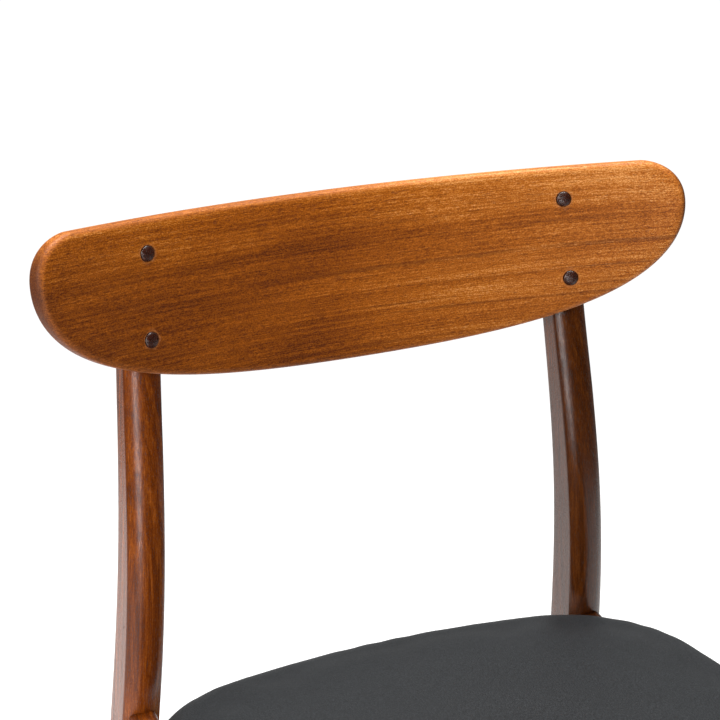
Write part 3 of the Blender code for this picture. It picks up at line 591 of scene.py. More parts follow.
def leather():
    look = Look("black_leather", Specular_IOR_Level=0.24, Sheen_Weight=0.03, Sheen_Roughness=0.5)
    place = look.place()
    skewed = look.vector("MULTIPLY_ADD", look.wander(place, 420, 2.0), (0.0012,) * 3, place)
    pebbles = look.between(look.cells(skewed, 820, "SMOOTH_F1"), 0.05, 0.60)
    creases = look.between(look.cells(skewed, 520, "DISTANCE_TO_EDGE"), 0.0, 0.14)
    fine = look.noise(place, 3400)
    grainy = look.noise(place, 900, 2.0, 0.7, (0.40, 0.62))
    cloud = look.noise(place, 14, 3.0, limits=(0.3, 0.7))
    pores = look.noise(place, 2400, 1.0, limits=(0.66, 0.74))
    colour = look.ramp(cloud, tones((0.0, 13, 15, 17), (1.0, 20, 22, 24)))
    colour = look.mix(look.times(grainy, 0.60), colour, (42, 45, 48))
    # Painted shade: the creases between the grain's pebbles are darkened.
    colour = look.mix(look.between(creases, 0.0, 1.0, 0.45, 0.0), colour, (16, 17, 18))
    colour = look.mix(look.times(look.stored("edge", "Fac"), 0.35), colour, (62, 64, 64))
    roughness = look.between(look.plus(cloud, fine), 0.4, 1.5, 0.56, 0.46)
    height = look.minus(look.times(creases, 0.7), look.times(pebbles, 0.5))
    height = look.plus(height, look.times(look.plus(fine, grainy), 0.35))
    height = look.minus(height, look.times(pores, 0.5))
    return look.dress(colour, roughness, height, 0.00010)


def dust_cloth():
    """Black non-woven cloth: fibres that lie both ways, pressed together in a diagonal grid of dots."""
    look = Look("black_cloth", Specular_IOR_Level=0.2, Sheen_Weight=0.25, Sheen_Roughness=0.6)
    place = look.place()
    scales = (900, 3600, 900), (3400, 800, 900)
    web = look.math("MAXIMUM", *(look.noise(place, scale, 3.0) for scale in scales))
    x, y, _ = look.axes(place)
    diagonals = (look.math("MULTIPLY_ADD", y, sign, x) for sign in (1, -1))
    dots = look.times(*(look.math("SINE", look.times(line, 1750)) for line in diagonals))
    pressed = look.between(dots, 0.35, 0.75)
    cloud = look.noise(place, 60, 3.0)
    colour = look.ramp(look.times(web, cloud), tones((0.12, 17, 17, 18), (0.42, 40, 40, 42)))
    colour = look.mix(look.times(pressed, 0.55), colour, (13, 13, 14))
    roughness = look.between(pressed, 0.0, 1.0, 0.93, 0.70)
    return look.dress(colour, roughness, look.minus(web, pressed), 0.00012)


def foam():
    look = Look("foam", Specular_IOR_Level=0.15, Sheen_Weight=0.1)
    place = look.place()
    bubbles = look.cells(place, 900)
    colour = look.ramp(look.noise(place, 30, 3.0), tones((0.3, 226, 208, 158), (0.7, 238, 224, 182)))
    colour = look.mix(look.between(bubbles, 0.1, 0.5, 0.0, 0.4), colour, (190, 165, 112))
    return look.dress(colour, look.between(bubbles, 0.0, 0.6, 0.98, 0.90), bubbles, 0.0004)


def plywood():
    """Veneers lie flat, so the board's edge shows them as bands and its faces show one veneer's grain."""
    look = Look("plywood", Specular_IOR_Level=0.25)
    place = look.place()
    veneers = look.times(look.axes(place)[2], 1 / VENEER)
    odd = look.math("MODULO", look.math("FLOOR", veneers), 2.0)
    long_grain = look.noise(place, (14, 420, 420), 4.0)
    band = look.mix(look.between(odd, 0, 1), long_grain, look.noise(place, 2600))
    normal_up = look.axes(look.add("NewGeometry").outputs["Normal"])[2]
    flat = look.between(look.math("ABSOLUTE", normal_up), 0.6, 0.8)
    value = look.mix(flat, band, long_grain)
    colour = look.ramp(value, tones((0.3, 176, 140, 96), (0.7, 222, 194, 150)))
    glue = look.between(look.math("FRACT", veneers), 0.0, 0.12, 0.5, 0.0)
    colour = look.mix(look.times(glue, look.minus(1.0, flat)), colour, (84, 52, 30))
    return look.dress(colour, look.between(value, 0.2, 0.8, 0.80, 0.66), value, 0.0001)


def zinc_steel():
    look = Look("zinc_steel", Metallic=1.0)
    place = look.place()
    blotches = look.noise(place, 700, 4.0, 0.7, (0.3, 0.7))
    scratches = look.noise(place, (400, 400, 9000), 2.0, limits=(0.5, 0.75))
    colour = look.ramp(blotches, tones((0.0, 168, 164, 148), (1.0, 206, 204, 196)))
    roughness = look.plus(look.between(blotches, 0, 1, 0.36, 0.24), look.times(scratches, 0.12))
    return look.dress(colour, roughness, scratches, 0.00002)


def nylon():
    look = Look("nylon", Specular_IOR_Level=0.45)
    place = look.place()
    mottle = look.noise(place, 260, 3.0, limits=(0.3, 0.7))
    scuffs = look.noise(place, (300, 2600, 900), 4.0, 0.7, (0.56, 0.70))
    colour = look.ramp(mottle, tones((0.0, 66, 52, 44), (1.0, 82, 67, 57)))
    colour = look.mix(look.times(scuffs, 0.5), colour, (124, 112, 100))
    roughness = look.plus(look.between(mottle, 0, 1, 0.40, 0.50), look.times(scuffs, 0.25))
    return look.dress(colour, roughness, look.minus(mottle, scuffs), 0.00005)


# ---------------------------------------------------------------------------------------------- backrest


def bent_points(flat):
    """Bends points given as along, up and depth into the backrest's place."""
    along, up, depth = np.asarray(flat, float).T
    angle = along / BACKREST_RADIUS
    across = (BACKREST_RADIUS + depth) * np.sin(angle)
    back = (BACKREST_RADIUS + depth) * np.cos(angle) - BACKREST_RADIUS
    leaned = back * LEAN_COSINE + up * LEAN_SINE, up * LEAN_COSINE - back * LEAN_SINE
    return np.stack([across, *leaned], axis=1) + np.array(BACKREST_MIDDLE)


def unbent_points(points):
    """The reverse of bent_points."""
    x, y, z = (np.asarray(points, float) - np.array(BACKREST_MIDDLE)).T
    back, up = y * LEAN_COSINE - z * LEAN_SINE, y * LEAN_SINE + z * LEAN_COSINE
    angle = np.arctan2(x, back + BACKREST_RADIUS)
    depth = np.hypot(x, back + BACKREST_RADIUS) - BACKREST_RADIUS
    return np.stack([angle * BACKREST_RADIUS, up, depth], axis=1)


def bezier_points(*handles):
    t = np.linspace(0, 1, 120)[:, None]
    p = [np.array(handle, float) for handle in handles]
    return (1 - t) ** 3 * p[0] + 3 * (1 - t) ** 2 * t * p[1] + 3 * (1 - t) * t**2 * p[2] + t**3 * p[3]


def backrest_outline(grow):
    """Upper and lower edge of the flat board at each column, from the left end to the right end."""
    half = BACKREST_HALF_LENGTH + grow
    top, bottom = BACKREST_TOP + grow, BACKREST_BOTTOM - grow
    shoulder, end = (BACKREST_SHOULDER, top), (half, BACKREST_WIDEST)
    middle = bezier_points((0, top), (0.06, top), (BACKREST_SHOULDER - SHOULDER_HANDLES[0], top), shoulder)
    beyond = BACKREST_SHOULDER + SHOULDER_HANDLES[1], top
    round_end = bezier_points(shoulder, beyond, (half, BACKREST_WIDEST + END_HANDLES[0]), end)
    above = np.concatenate([middle, round_end[1:]])
    below = bezier_points((0, bottom), (LOWEST_HANDLE, bottom), (half, BACKREST_WIDEST - END_HANDLES[1]), end)
    columns = -half * np.cos(np.linspace(0, math.pi, BACKREST_COLUMNS + 1))
    reach = np.minimum(np.abs(columns), half)
    return [np.column_stack([columns, np.interp(reach, line[:, 0], line[:, 1])]) for line in (above, below)]


def backrest_mesh(grow=0.0):
    """The board as rings round its edge, and a grid of columns and rows over each face."""
    upper, lower = backrest_outline(grow)
    outline = np.concatenate([lower, upper[-2:0:-1]])
    rings = slab_rings(outline, BACKREST_THICKNESS / 2 + grow, BACKREST_ROUNDING + grow, steps=7)
    columns, rows = BACKREST_COLUMNS, BACKREST_ROWS
    points = list(rings)
    index = np.arange(len(rings) * len(outline)).reshape(len(rings), len(outline))
    faces = faces_between(index)
    total = index.size
    shares = (np.arange(1, rows) / rows)[None, :, None]
    for ring, loop in ((rings[0], index[0]), (rings[-1], index[-1])):
        low, high = ring[: columns + 1], np.roll(ring[::-1], 1, axis=0)[: columns + 1]
        inner = low[1:-1, None] + (high - low)[1:-1, None] * shares
        grid = np.empty((columns + 1, rows + 1), int)
        grid[:, 0], grid[:, -1] = loop[: columns + 1], np.roll(loop[::-1], 1)[: columns + 1]
        grid[0, :], grid[-1, :] = grid[0, 0], grid[-1, 0]
        grid[1:-1, 1:-1] = total + np.arange(inner.shape[0] * inner.shape[1]).reshape(inner.shape[:2])
        total += inner.shape[0] * inner.shape[1]
        points.append(inner.reshape(-1, 3))
        quads = np.stack([grid[:-1, :-1], grid[1:, :-1], grid[1:, 1:], grid[:-1, 1:]], axis=-1).reshape(-1, 4)
        corners = [list(dict.fromkeys(quad)) for quad in quads.tolist()]
        faces += [face for face in corners if len(face) > 2]
    flat = np.concatenate(points)
    flat[:, 2] = BACKREST_THICKNESS / 2 - flat[:, 2]
    to_top = np.interp(flat[:, 0], upper[:, 0], upper[:, 1]) - flat[:, 1]
    to_bottom = flat[:, 1] - np.interp(flat[:, 0], lower[:, 0], lower[:, 1])
    eased = np.clip(1 - np.minimum(to_top, to_bottom) / BACKREST_EASED_WIDTH, 0, 1) ** 2
    flat[:, 2] += BACKREST_EASED * eased * (1 - flat[:, 2] / BACKREST_THICKNESS)
    return new_mesh(bent_points(flat), faces)


def cad_axis(node):
    """A turned CAD piece's thicker end's middle, the unit direction to its other end, and its length."""
    points = np.unique(points_of(NODES[node].data).round(6), axis=0)
    axis = np.linalg.svd(points - points.mean(0), full_matrices=False)[2][0]
    middle = (points.min(0) + points.max(0)) / 2
    reach = (points - middle) @ axis
    span = reach.max() - reach.min()
    off = np.linalg.norm(points - middle - np.outer(reach, axis), axis=1)
    if off[reach < reach.min() + span * 0.2].max() < off[reach > reach.max() - span * 0.2].max() - 0.0002:
        axis, reach = -axis, -reach
    at_end = points[reach < reach.min() + 0.00005]
    start = (at_end.min(0) + at_end.max(0)) / 2
    return Vector(start), Vector(axis).normalized(), float(span)


def plug_place(node):
    """Where a plug meets the board's front, and how to turn and move a mesh there from the origin."""
    low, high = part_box(node)
    along, up, _ = unbent_points([(low + high) / 2])[0]
    surface, inner = bent_points([(along, up, 0), (along, up, 1)])
    outward = Vector(surface - inner).normalized()
    return Vector(surface), outward, aim(Vector(surface), outward)


def plug_hole():
    """The profile of the hole for a plug, chamfered in front, with the screw's hole behind it."""
    radius, depth = PLUG_RADIUS + SNUG, -PLUG_DEPTH - SNUG
    return (
        (radius + HOLE_CHAMFER + 0.002, 0.002), (radius, -HOLE_CHAMFER), (radius, depth),
        (SCREW_HOLE_RADIUS, depth), (SCREW_HOLE_RADIUS, -0.02),
    )


def plug_profile():
    """A plug with a domed, slightly proud face and an eased rear edge."""
    angles = [math.pi / 2 * step / 8 for step in range(1, 9)]
    profile = [(PLUG_RADIUS * math.sin(a) ** 0.85, PLUG_PROUD * math.cos(a) ** 1.3) for a in angles]
    return profile + [(PLUG_RADIUS, -PLUG_DEPTH + PLUG_EASE), (PLUG_RADIUS - PLUG_EASE, -PLUG_DEPTH)]


def build_backrest(material, plug_material):
    panel = add_object("backrest_board", backrest_mesh())
    cutters = []
    for word, side in SIDES.items():
        for level in ("upper", "lower"):
            node = f"backrest_plug_{level}_{word}"
            surface, outward, place = plug_place(node)
            hole, plug = turned(plug_hole(), ROUND_STEPS), turned(plug_profile(), ROUND_STEPS)
            hole.transform(place)
            plug.transform(place)
            cutters.append(add_object("hole", hole))
            plug = add_object(f"plug_{level}_{word}", plug)
            timber(plug, surface, outward, UP, (0.3 * side, 0.07 * len(level), 0.011))
            finish_piece(plug, plug_material, "plug_wood", node, sharp=60)
    cut(panel, *cutters)
    drop(*cutters)
    flat = unbent_points(points_of(panel.data))
    store(panel.data, "grain", flat)
    angle = flat[:, 0] / BACKREST_RADIUS
    along = np.stack([np.cos(angle), -np.sin(angle) * LEAN_COSINE, np.sin(angle) * LEAN_SINE], axis=1)
    facing = np.abs((normals_of(panel.data) * along).sum(-1))
    store(panel.data, "end", np.clip((facing - 0.45) / 0.45, 0, 1))
    finish_piece(panel, material, "teak", "backrest_panel", edges=0.0009)


# ---------------------------------------------------------------------------------------------- legs


def rear_leg_outer(height):
    """How far the leg's outer side is from the middle of the chair."""
    return REAR_LEG_OUTER_TOP + REAR_LEG_SPLAY * (REAR_LEG_SHAPE[0][0] - height)


def rear_leg_section(height, grow, trim_back):
    """A level section about the leg's middle: rounded back corners, flat sides, crisp edges, crowned front."""
    front, back, crown, thickness = smooth_row(REAR_LEG_SHAPE, height)
    front -= grow
    back += grow - trim_back
    half = thickness / 2 + grow
    corner, edge = REAR_LEG_CORNER, front + crown
    radius = (half**2 + crown**2) / (2 * crown)
    sweep = math.degrees(math.asin(half / radius))
    right = [(half * share, back) for share in (0.25, 0.5, 0.75)]
    turns = [math.radians(90 - 90 * step / 5) for step in range(6)]
    right += [(half - corner + corner * math.cos(a), back - corner + corner * math.sin(a)) for a in turns]
    right += [(half, y) for y in np.linspace(back - corner, edge + 0.0020, 7)[1:]]
    right += [(half, edge + ARRIS), (half - ARRIS * 0.3, edge + ARRIS * 0.25)]
    turns = [math.radians(sweep * share) for share in (0.94, 0.86, 0.72, 0.58, 0.44, 0.30, 0.15)]
    right += [(radius * math.sin(a), front + radius * (1 - math.cos(a))) for a in turns]
    return right + [(0, front)] + [(-x, y) for x, y in reversed(right)] + [(0, back)]


def pinched(ring, height, inset):
    """A ring at another height, drawn in towards its middle, which eases an end's edge."""
    ring = np.array(ring)
    middle = (ring.min(0) + ring.max(0)) / 2
    reach = np.abs(ring - middle).max(0)
    moved = middle + (ring - middle) * np.array([1 - inset / reach[0], 1 - inset / reach[1], 1])
    moved[:, 2] = height
    return moved


def rear_leg_mesh(side, grow=0.0):
    top, foot, rounded = REAR_LEG_SHAPE[0][0], REAR_LEG_SHAPE[-1][0], REAR_LEG_TOP_ROUNDING
    levels = [(height, 0.0) for height in np.linspace(foot + 0.0006, top - rounded, REAR_LEG_RINGS)]
    for angle in map(math.radians, range(15, 76, 12)):
        levels.append((top - rounded + rounded * math.sin(angle), rounded * (1 - math.cos(angle))))
    rings = []
    for height, trim in levels:
        middle = rear_leg_outer(height) - smooth_row(REAR_LEG_SHAPE, height)[3] / 2
        rings.append([(side * (middle + x), y, height) for x, y in rear_leg_section(height, grow, trim)])
    sole, tip = pinched(rings[0], foot, REAR_LEG_FOOT_EASE), pinched(rings[-1], top, REAR_LEG_TOP_EASE)
    return loft([sole, *rings, tip])


def build_rear_legs(materials):
    envelope = add_object("hollow", backrest_mesh(SNUG))
    for word, side in SIDES.items():
        leg = add_object(f"back_leg_{word}", rear_leg_mesh(side))
        cut(leg, envelope)
        along = (-side * REAR_LEG_SPLAY * 0.8, -0.045, 1)
        origin = (side * rear_leg_outer(0.5), 0.165, 0.5)
        timber(leg, origin, along, (1, 0, 0), (0.9 + 0.37 * side, 0.004 * side, 0.002))
        finish_piece(leg, materials[word], "walnut_stain", f"rear_leg_{word}", edges=WOOD_EDGES)
    drop(envelope)


def front_leg_middle(side, height):
    share = (height - FRONT_LEG_FOOT.z) / (FRONT_LEG_TOP.z - FRONT_LEG_FOOT.z)
    middle = FRONT_LEG_FOOT.lerp(FRONT_LEG_TOP, share)
    return Vector((side * middle.x, middle.y, height))


def front_leg_mesh(side, grow=0.0):
    top, foot, ease = FRONT_LEG_TOP.z + grow, FRONT_LEG_FOOT.z - grow, FRONT_LEG_EASE
    length = (FRONT_LEG_TOP - FRONT_LEG_FOOT).length
    levels = [(foot, ease), (foot + ease * 0.3, ease * 0.3), (foot + ease, 0)]
    levels += [(h, 0) for h in np.linspace(foot + 0.004, top - 0.004, FRONT_LEG_RINGS)]
    levels += [(top - ease, 0), (top - ease * 0.3, ease * 0.3), (top, ease)]
    rings = []
    for height, inset in levels:
        down = (FRONT_LEG_TOP.z - height) / (FRONT_LEG_TOP.z - FRONT_LEG_FOOT.z) * length
        down = min(max(down, 0), FRONT_LEG_SHAPE[-1][0])
        radius = smooth_row(FRONT_LEG_SHAPE, down)[0] + grow - inset
        middle = front_leg_middle(side, height)
        rings.append(round_ring([radius] * FRONT_LEG_STEPS, height, middle.x, middle.y))
    return loft(rings)


def build_front_legs(material):
    for word, side in SIDES.items():
        leg = add_object(f"turned_leg_{word}", front_leg_mesh(side))
        axis = front_leg_middle(side, 0.4) - front_leg_middle(side, 0.1)
        timber(leg, front_leg_middle(side, 0.2), axis, (1, 0, 0), (0.2 + 0.53 * side, 0.010, 0.012 * side))
        finish_piece(leg, material, "walnut_stain", f"front_leg_{word}", edges=WOOD_EDGES)


# ---------------------------------------------------------------------------------------------- rails


def side_rail_outline(length):
    """Side view of the side rail: a raised nose at the rear leg, a level top, and a shallow arch below."""
    (ramp_start, ramp_end), raised = SIDE_RAIL_RAMP, SIDE_RAIL_REAR_TOP - FRAME_TOP
    shares = [step / SIDE_RAIL_STEPS for step in range(SIDE_RAIL_STEPS + 1)]
    points = [(0, SIDE_RAIL_REAR_TOP)]
    for share in shares:
        fall = raised * (1 - math.cos(math.pi * share)) / 2
        points.append((ramp_start + (ramp_end - ramp_start) * share, SIDE_RAIL_REAR_TOP - fall))
    points += [(length, FRAME_TOP), (length, RAIL_BOTTOM)]
    for share in shares:
        rise = SIDE_RAIL_ARCH * math.sin(math.pi * share) ** 1.5
        points.append((length - SIDE_RAIL_END - (length - 2 * SIDE_RAIL_END) * share, RAIL_BOTTOM + rise))
    return points + [(0, RAIL_BOTTOM)]


def screw_cutter(node):
    """A cylinder for a screw's counterbore, from its head outward."""
    head, direction, _ = cad_axis(node)
    mesh = turned([(COUNTERBORE_RADIUS, 0), (COUNTERBORE_RADIUS, 0.03)], BORE_STEPS)
    mesh.transform(aim(head, -direction))
    return add_object("bore", mesh)


def build_rail(where, outline, rounding, origin, along, rise, cutters, offset, material, node):
    """A board with its outline's X along the rail and Y up it, cut to fit what it meets."""
    rail = add_object(f"seat_rail_{where}", loft(slab_rings(outline, RAIL_THICKNESS / 2, rounding)))
    turn = Matrix((along, rise, along.cross(rise).normalized())).transposed().to_4x4()
    rail.data.transform(Matrix.Translation(origin) @ turn)
    face_outward(rail.data)
    cut(rail, *cutters)
    timber(rail, origin, along, UP, offset)
    finish_piece(rail, material, "walnut_stain", node, edges=WOOD_EDGES)


def build_rails(materials):
    spaces = {}
    for word, side in SIDES.items():
        spaces["rear", word] = add_object("space", rear_leg_mesh(side, SNUG))
        spaces["front", word] = add_object("space", front_leg_mesh(side, SNUG))
    for word, side in SIDES.items():
        rear = Vector((side * SIDE_RAIL_REAR.x, SIDE_RAIL_REAR.y, 0))
        run = Vector((side * FRONT_LEG_TOP.x, FRONT_LEG_TOP.y, 0)) - rear
        bores = [screw_cutter(f"seat_screw_{where}_{word}") for where in ("front", "rear")]
        build_rail(
            word, side_rail_outline(run.length), SIDE_RAIL_ROUNDING, rear, run.normalized(), UP,
            [spaces["rear", word], spaces["front", word], *bores], (0.4 - 0.21 * side, -0.38, 0.02),
            materials[word], f"side_rail_{word}",
        )
        drop(*bores)
    lower, upper = (smooth_row(REAR_LEG_SHAPE, height)[0] for height in (REAR_RAIL_BOTTOM, REAR_RAIL_TOP))
    rake = Vector((0, upper - lower, REAR_RAIL_TOP - REAR_RAIL_BOTTOM)).normalized()
    middle_height = (REAR_RAIL_BOTTOM + REAR_RAIL_TOP) / 2
    front, _, _, thickness = smooth_row(REAR_LEG_SHAPE, middle_height)
    rear_middle = Vector((0, front + REAR_RAIL_SET_BACK + RAIL_THICKNESS / 2 / rake.z, middle_height))
    rear_reach = rear_leg_outer(middle_height) - thickness + RAIL_OVERLAP
    front_middle = Vector((0, FRONT_LEG_TOP.y, (RAIL_BOTTOM + FRAME_TOP) / 2))
    for where, reach, height, middle, rise, start in (
        ("rear", rear_reach, REAR_RAIL_TOP - REAR_RAIL_BOTTOM, rear_middle, rake, 0.7),
        ("front", FRONT_LEG_TOP.x, FRAME_TOP - RAIL_BOTTOM, front_middle, UP, 0.1),
    ):
        run = np.linspace(-reach, reach, 20)
        outline = [(x, -height / 2) for x in run] + [(x, height / 2) for x in reversed(run)]
        build_rail(
            where, outline, CROSS_RAIL_ROUNDING, middle, Vector((1, 0, 0)), rise,
            [spaces[where, word] for word in SIDES], (start, 0.01, 0.02), materials["left"], f"{where}_rail",
        )
    drop(*spaces.values())


# ---------------------------------------------------------------------------------------------- fasteners


def threaded(length):
    """A countersunk screw hanging down from its head at height 0, with a helical thread and a cross recess."""
    plain = SCREW_NECK[1] - 0.3 * (length + SCREW_NECK[1])
    profile = ((SCREW_HEAD - 0.0002, 0.0), (SCREW_HEAD, -0.0002), SCREW_NECK, (SCREW_NECK[0], plain))
    rings = [round_ring([radius] * SCREW_STEPS, height) for radius, height in profile]
    turns = (plain + length - 0.0005) / SCREW_PITCH
    for step in range(1, int(turns * STEPS_PER_TURN)):
        height = plain - step * SCREW_PITCH / STEPS_PER_TURN
        taper = min(1.0, (length + height) / SCREW_TIP)
        phases = [(step / STEPS_PER_TURN + number / SCREW_STEPS) % 1 for number in range(SCREW_STEPS)]
        crests = [max(0.0, 1 - abs(phase - 0.5) * 3.2) for phase in phases]
        rings.append(round_ring([(SCREW_SHANK + SCREW_THREAD * crest) * taper for crest in crests], height))
    rings.append(round_ring([0.0001] * SCREW_STEPS, -length))
    screw = add_object("prototype", loft(rings))
    slots = []
    for turn in (0, math.pi / 2):
        mesh = loft([[(x, y, z) for x, z in RECESS_BLADE] for y in (-RECESS_HALF_WIDTH, RECESS_HALF_WIDTH)])
        mesh.transform(Matrix.Rotation(turn, 4, "Z"))
        slots.append(add_object("slot", mesh))
    cut(screw, *slots)
    drop(*slots)
    return screw


def nodes_with(part):
    """The CAD nodes with a word in their names, in order."""
    return [node for node in sorted(NODES) if part in node]


def build_screws(material):
    prototypes = {}
    for node in nodes_with("_screw_"):
        head, direction, length = cad_axis(node)
        key = round(length, 4)
        if key not in prototypes:
            prototypes[key] = threaded(length)
        mesh = prototypes[key].data.copy()
        turn = Matrix.Rotation(0.7 * (len(prototypes) + sum(map(ord, node)) % 7), 4, "Z")
        mesh.transform(aim(head, -direction) @ turn)
        screw = add_object(node.replace("_screw_", "_woodscrew_"), mesh)
        finish_piece(screw, material, "zinc_steel", node, sharp=40)
    drop(*prototypes.values())


def build_dowels(material):
    """Fluted dowels with eased ends."""
    angles = [math.tau * step / DOWEL_STEPS for step in range(DOWEL_STEPS)]
    grooves = [FLUTE_DEPTH * max(0.0, math.cos(DOWEL_FLUTES * angle)) ** 2 for angle in angles]
    for node in nodes_with("dowel"):
        start, direction, length = cad_axis(node)
        far_end = [(length - along, inset) for along, inset in reversed(DOWEL_END)]
        mesh = loft([
            round_ring([DOWEL_RADIUS - inset - groove for groove in grooves], along)
            for along, inset in (*DOWEL_END, (length / 2, 0), *far_end)
        ])
        mesh.transform(aim(start, direction))
        dowel = add_object(node.replace("dowel_", "peg_"), mesh)
        timber(dowel, start, direction, (0.3, 0.5, 0.8), (sum(map(ord, node)) * 0.01, 0, 0))
        finish_piece(dowel, material, "beech", node)


def build_blocks(material):
    """The CAD corner blocks' own shape, with triangles joined and edges eased."""
    for where, run in (("front", 1), ("rear", -1)):
        for word, side in SIDES.items():
            node = f"corner_block_{where}_{word}"
            block = add_object(f"glue_block_{where}_{word}", NODES[node].data.copy())
            with editing(block.data) as edit:
                bmesh.ops.remove_doubles(edit, verts=edit.verts, dist=0.00001)
                flat = math.radians(1)
                bmesh.ops.dissolve_limit(edit, angle_limit=flat, verts=edit.verts, edges=edit.edges)
            sharp = math.radians(50)
            modify(block, "BEVEL", width=0.0006, segments=2, limit_method="ANGLE", angle_limit=sharp)
            settle(block)
            low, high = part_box(node)
            timber(block, (low + high) / 2, (side, run, 0), UP, (len(where) * 0.1 * side, 0.02, 0.01))
            finish_piece(block, material, "beech", node, sharp=25)


def build_glides(material):
    for node in nodes_with("foot_glide"):
        low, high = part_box(node)
        mesh = turned([*GLIDE_FOOT, (0.0012, high.z - 0.002), (0.0001, high.z)], ROUND_STEPS)
        mesh.transform(Matrix.Translation(((low.x + high.x) / 2, (low.y + high.y) / 2, low.z)))
        finish_piece(add_object(node.replace("foot_glide", "nail_glide"), mesh), material, "nylon", node)


# ---------------------------------------------------------------------------------------------- seat


def seat_outline(inset):
    """The seat's plan outline, moved inward by the inset, as points from the rear round the right."""
    flare = SEAT_SIDE_FLARE
    normal = np.array([math.cos(flare), math.sin(flare)])
    forward = np.array([math.sin(flare), -math.cos(flare)])
    rear_bow_centre = np.array([0, SEAT_HIGH.y - SEAT_REAR_BOW])
    start = SEAT_SIDE - normal * SEAT_REAR_CORNER
    offset = start - rear_bow_centre
    middle = -offset @ forward
    reach = SEAT_REAR_BOW - SEAT_REAR_CORNER
    rear_centre = start - forward * (math.sqrt(middle**2 - offset @ offset + reach**2) - middle)
    rear_turn = math.atan2(rear_centre[1] - rear_bow_centre[1], rear_centre[0])
    side_length = (SEAT_SIDE[1] - SEAT_FRONT_CORNER_Y) / math.cos(flare)
    corner_centre = SEAT_SIDE + forward * side_length - normal * SEAT_FRONT_CORNER
    ahead = corner_centre[1] - SEAT_LOW.y
    bow = (corner_centre[0] ** 2 + ahead**2 - SEAT_FRONT_CORNER**2) / (2 * (ahead - SEAT_FRONT_CORNER))
    bow_centre = np.array([0, SEAT_LOW.y + bow])
    turn = math.atan2(corner_centre[1] - bow_centre[1], corner_centre[0])
    stretches = (
        (rear_bow_centre, SEAT_REAR_BOW, math.pi / 2, rear_turn, 20),
        (rear_centre, SEAT_REAR_CORNER, rear_turn, flare, 40),
        (corner_centre, SEAT_FRONT_CORNER, flare, turn, 24),
        (bow_centre, bow, turn, -math.pi / 2, 40),
    )
    right = []
    for number, (centre, radius, start, end, steps) in enumerate(stretches):
        angles = np.linspace(start, end, steps + 1)
        points = centre + (radius - inset) * np.stack([np.cos(angles), np.sin(angles)], axis=1)
        if number == 2:
            right += list(np.linspace(right[-1], points[0], 48)[1:-1])
        right += list(points if number in (0, 2) else points[1:])
    right = np.array(right)
    right[[0, -1], 0] = 0
    return np.concatenate([right, right[-2:0:-1] * [-1, 1]])


def seat_ring(inset, height, scale=1.0):
    ring = seat_outline(inset)
    ring[:, 1] = SEAT_MIDDLE_Y + (ring[:, 1] - SEAT_MIDDLE_Y) * scale
    ring[:, 0] *= scale
    return np.column_stack([ring, np.full(len(ring), height)])


def seat_shell(offset, crown, lowest=None):
    """The pad's outside moved inward by an offset: a small roll below, a quarter round above, a low crown."""
    under, over = SEAT_UNDER_ROUNDING - offset, SEAT_EDGE_ROUNDING - offset
    rings = [(LEATHER_TURNED_UNDER, SEAT_UNDER_CENTRE - SEAT_UNDER_ROUNDING + offset)]
    for angle in map(math.radians, range(90, -1, -15)):
        height = SEAT_UNDER_CENTRE - under * math.sin(angle)
        rings.append((SEAT_UNDER_ROUNDING - under * math.cos(angle), height))
    for angle in map(math.radians, range(10, 91, 10)):
        rings.append((SEAT_EDGE_ROUNDING - over * math.cos(angle), SEAT_WIDEST + over * math.sin(angle)))
    if lowest is not None:
        rings = [ring for ring in rings if ring[1] > lowest + 0.0005]
        rings.insert(0, (rings[0][0] + 0.0002, lowest))
    inset, height = rings[-1]
    layers = [seat_ring(i, h) for i, h in rings]
    return loft(layers + [seat_ring(inset, height + rise, scale) for scale, rise in crown])


def outline_measure(points):
    """For points over the seat's plan: distance inside the outline, and arc length round it from the rear."""
    outline = seat_outline(0.0)
    edge = np.roll(outline, -1, axis=0) - outline
    step = np.linalg.norm(edge, axis=1)
    length = np.concatenate([[0], np.cumsum(step)[:-1]])
    inside, round_it = np.empty(len(points)), np.empty(len(points))
    for start in range(0, len(points), 4000):
        block = points[start : start + 4000, None, :2] - outline[None]
        share = np.clip((block * edge).sum(-1) / (edge**2).sum(-1), 0, 1)
        gap = np.linalg.norm(block - share[..., None] * edge, axis=-1)
        nearest = gap.argmin(1)
        rows = np.arange(len(nearest))
        inside[start : start + 4000] = gap[rows, nearest]
        round_it[start : start + 4000] = length[nearest] + share[rows, nearest] * step[nearest]
    return inside, round_it, step.sum()


def blurred(mesh, values, times):
    """Values at a mesh's points, each drawn half way to the mean of its neighbours' a number of times."""
    edges = np.array([edge.vertices[:] for edge in mesh.edges])
    neighbours = np.bincount(edges.ravel(), minlength=len(values))[:, None]
    for _ in range(times):
        total = np.zeros_like(values)
        np.add.at(total, edges[:, 0], values[edges[:, 1]])
        np.add.at(total, edges[:, 1], values[edges[:, 0]])
        values = (values + total / neighbours) / 2
    return values


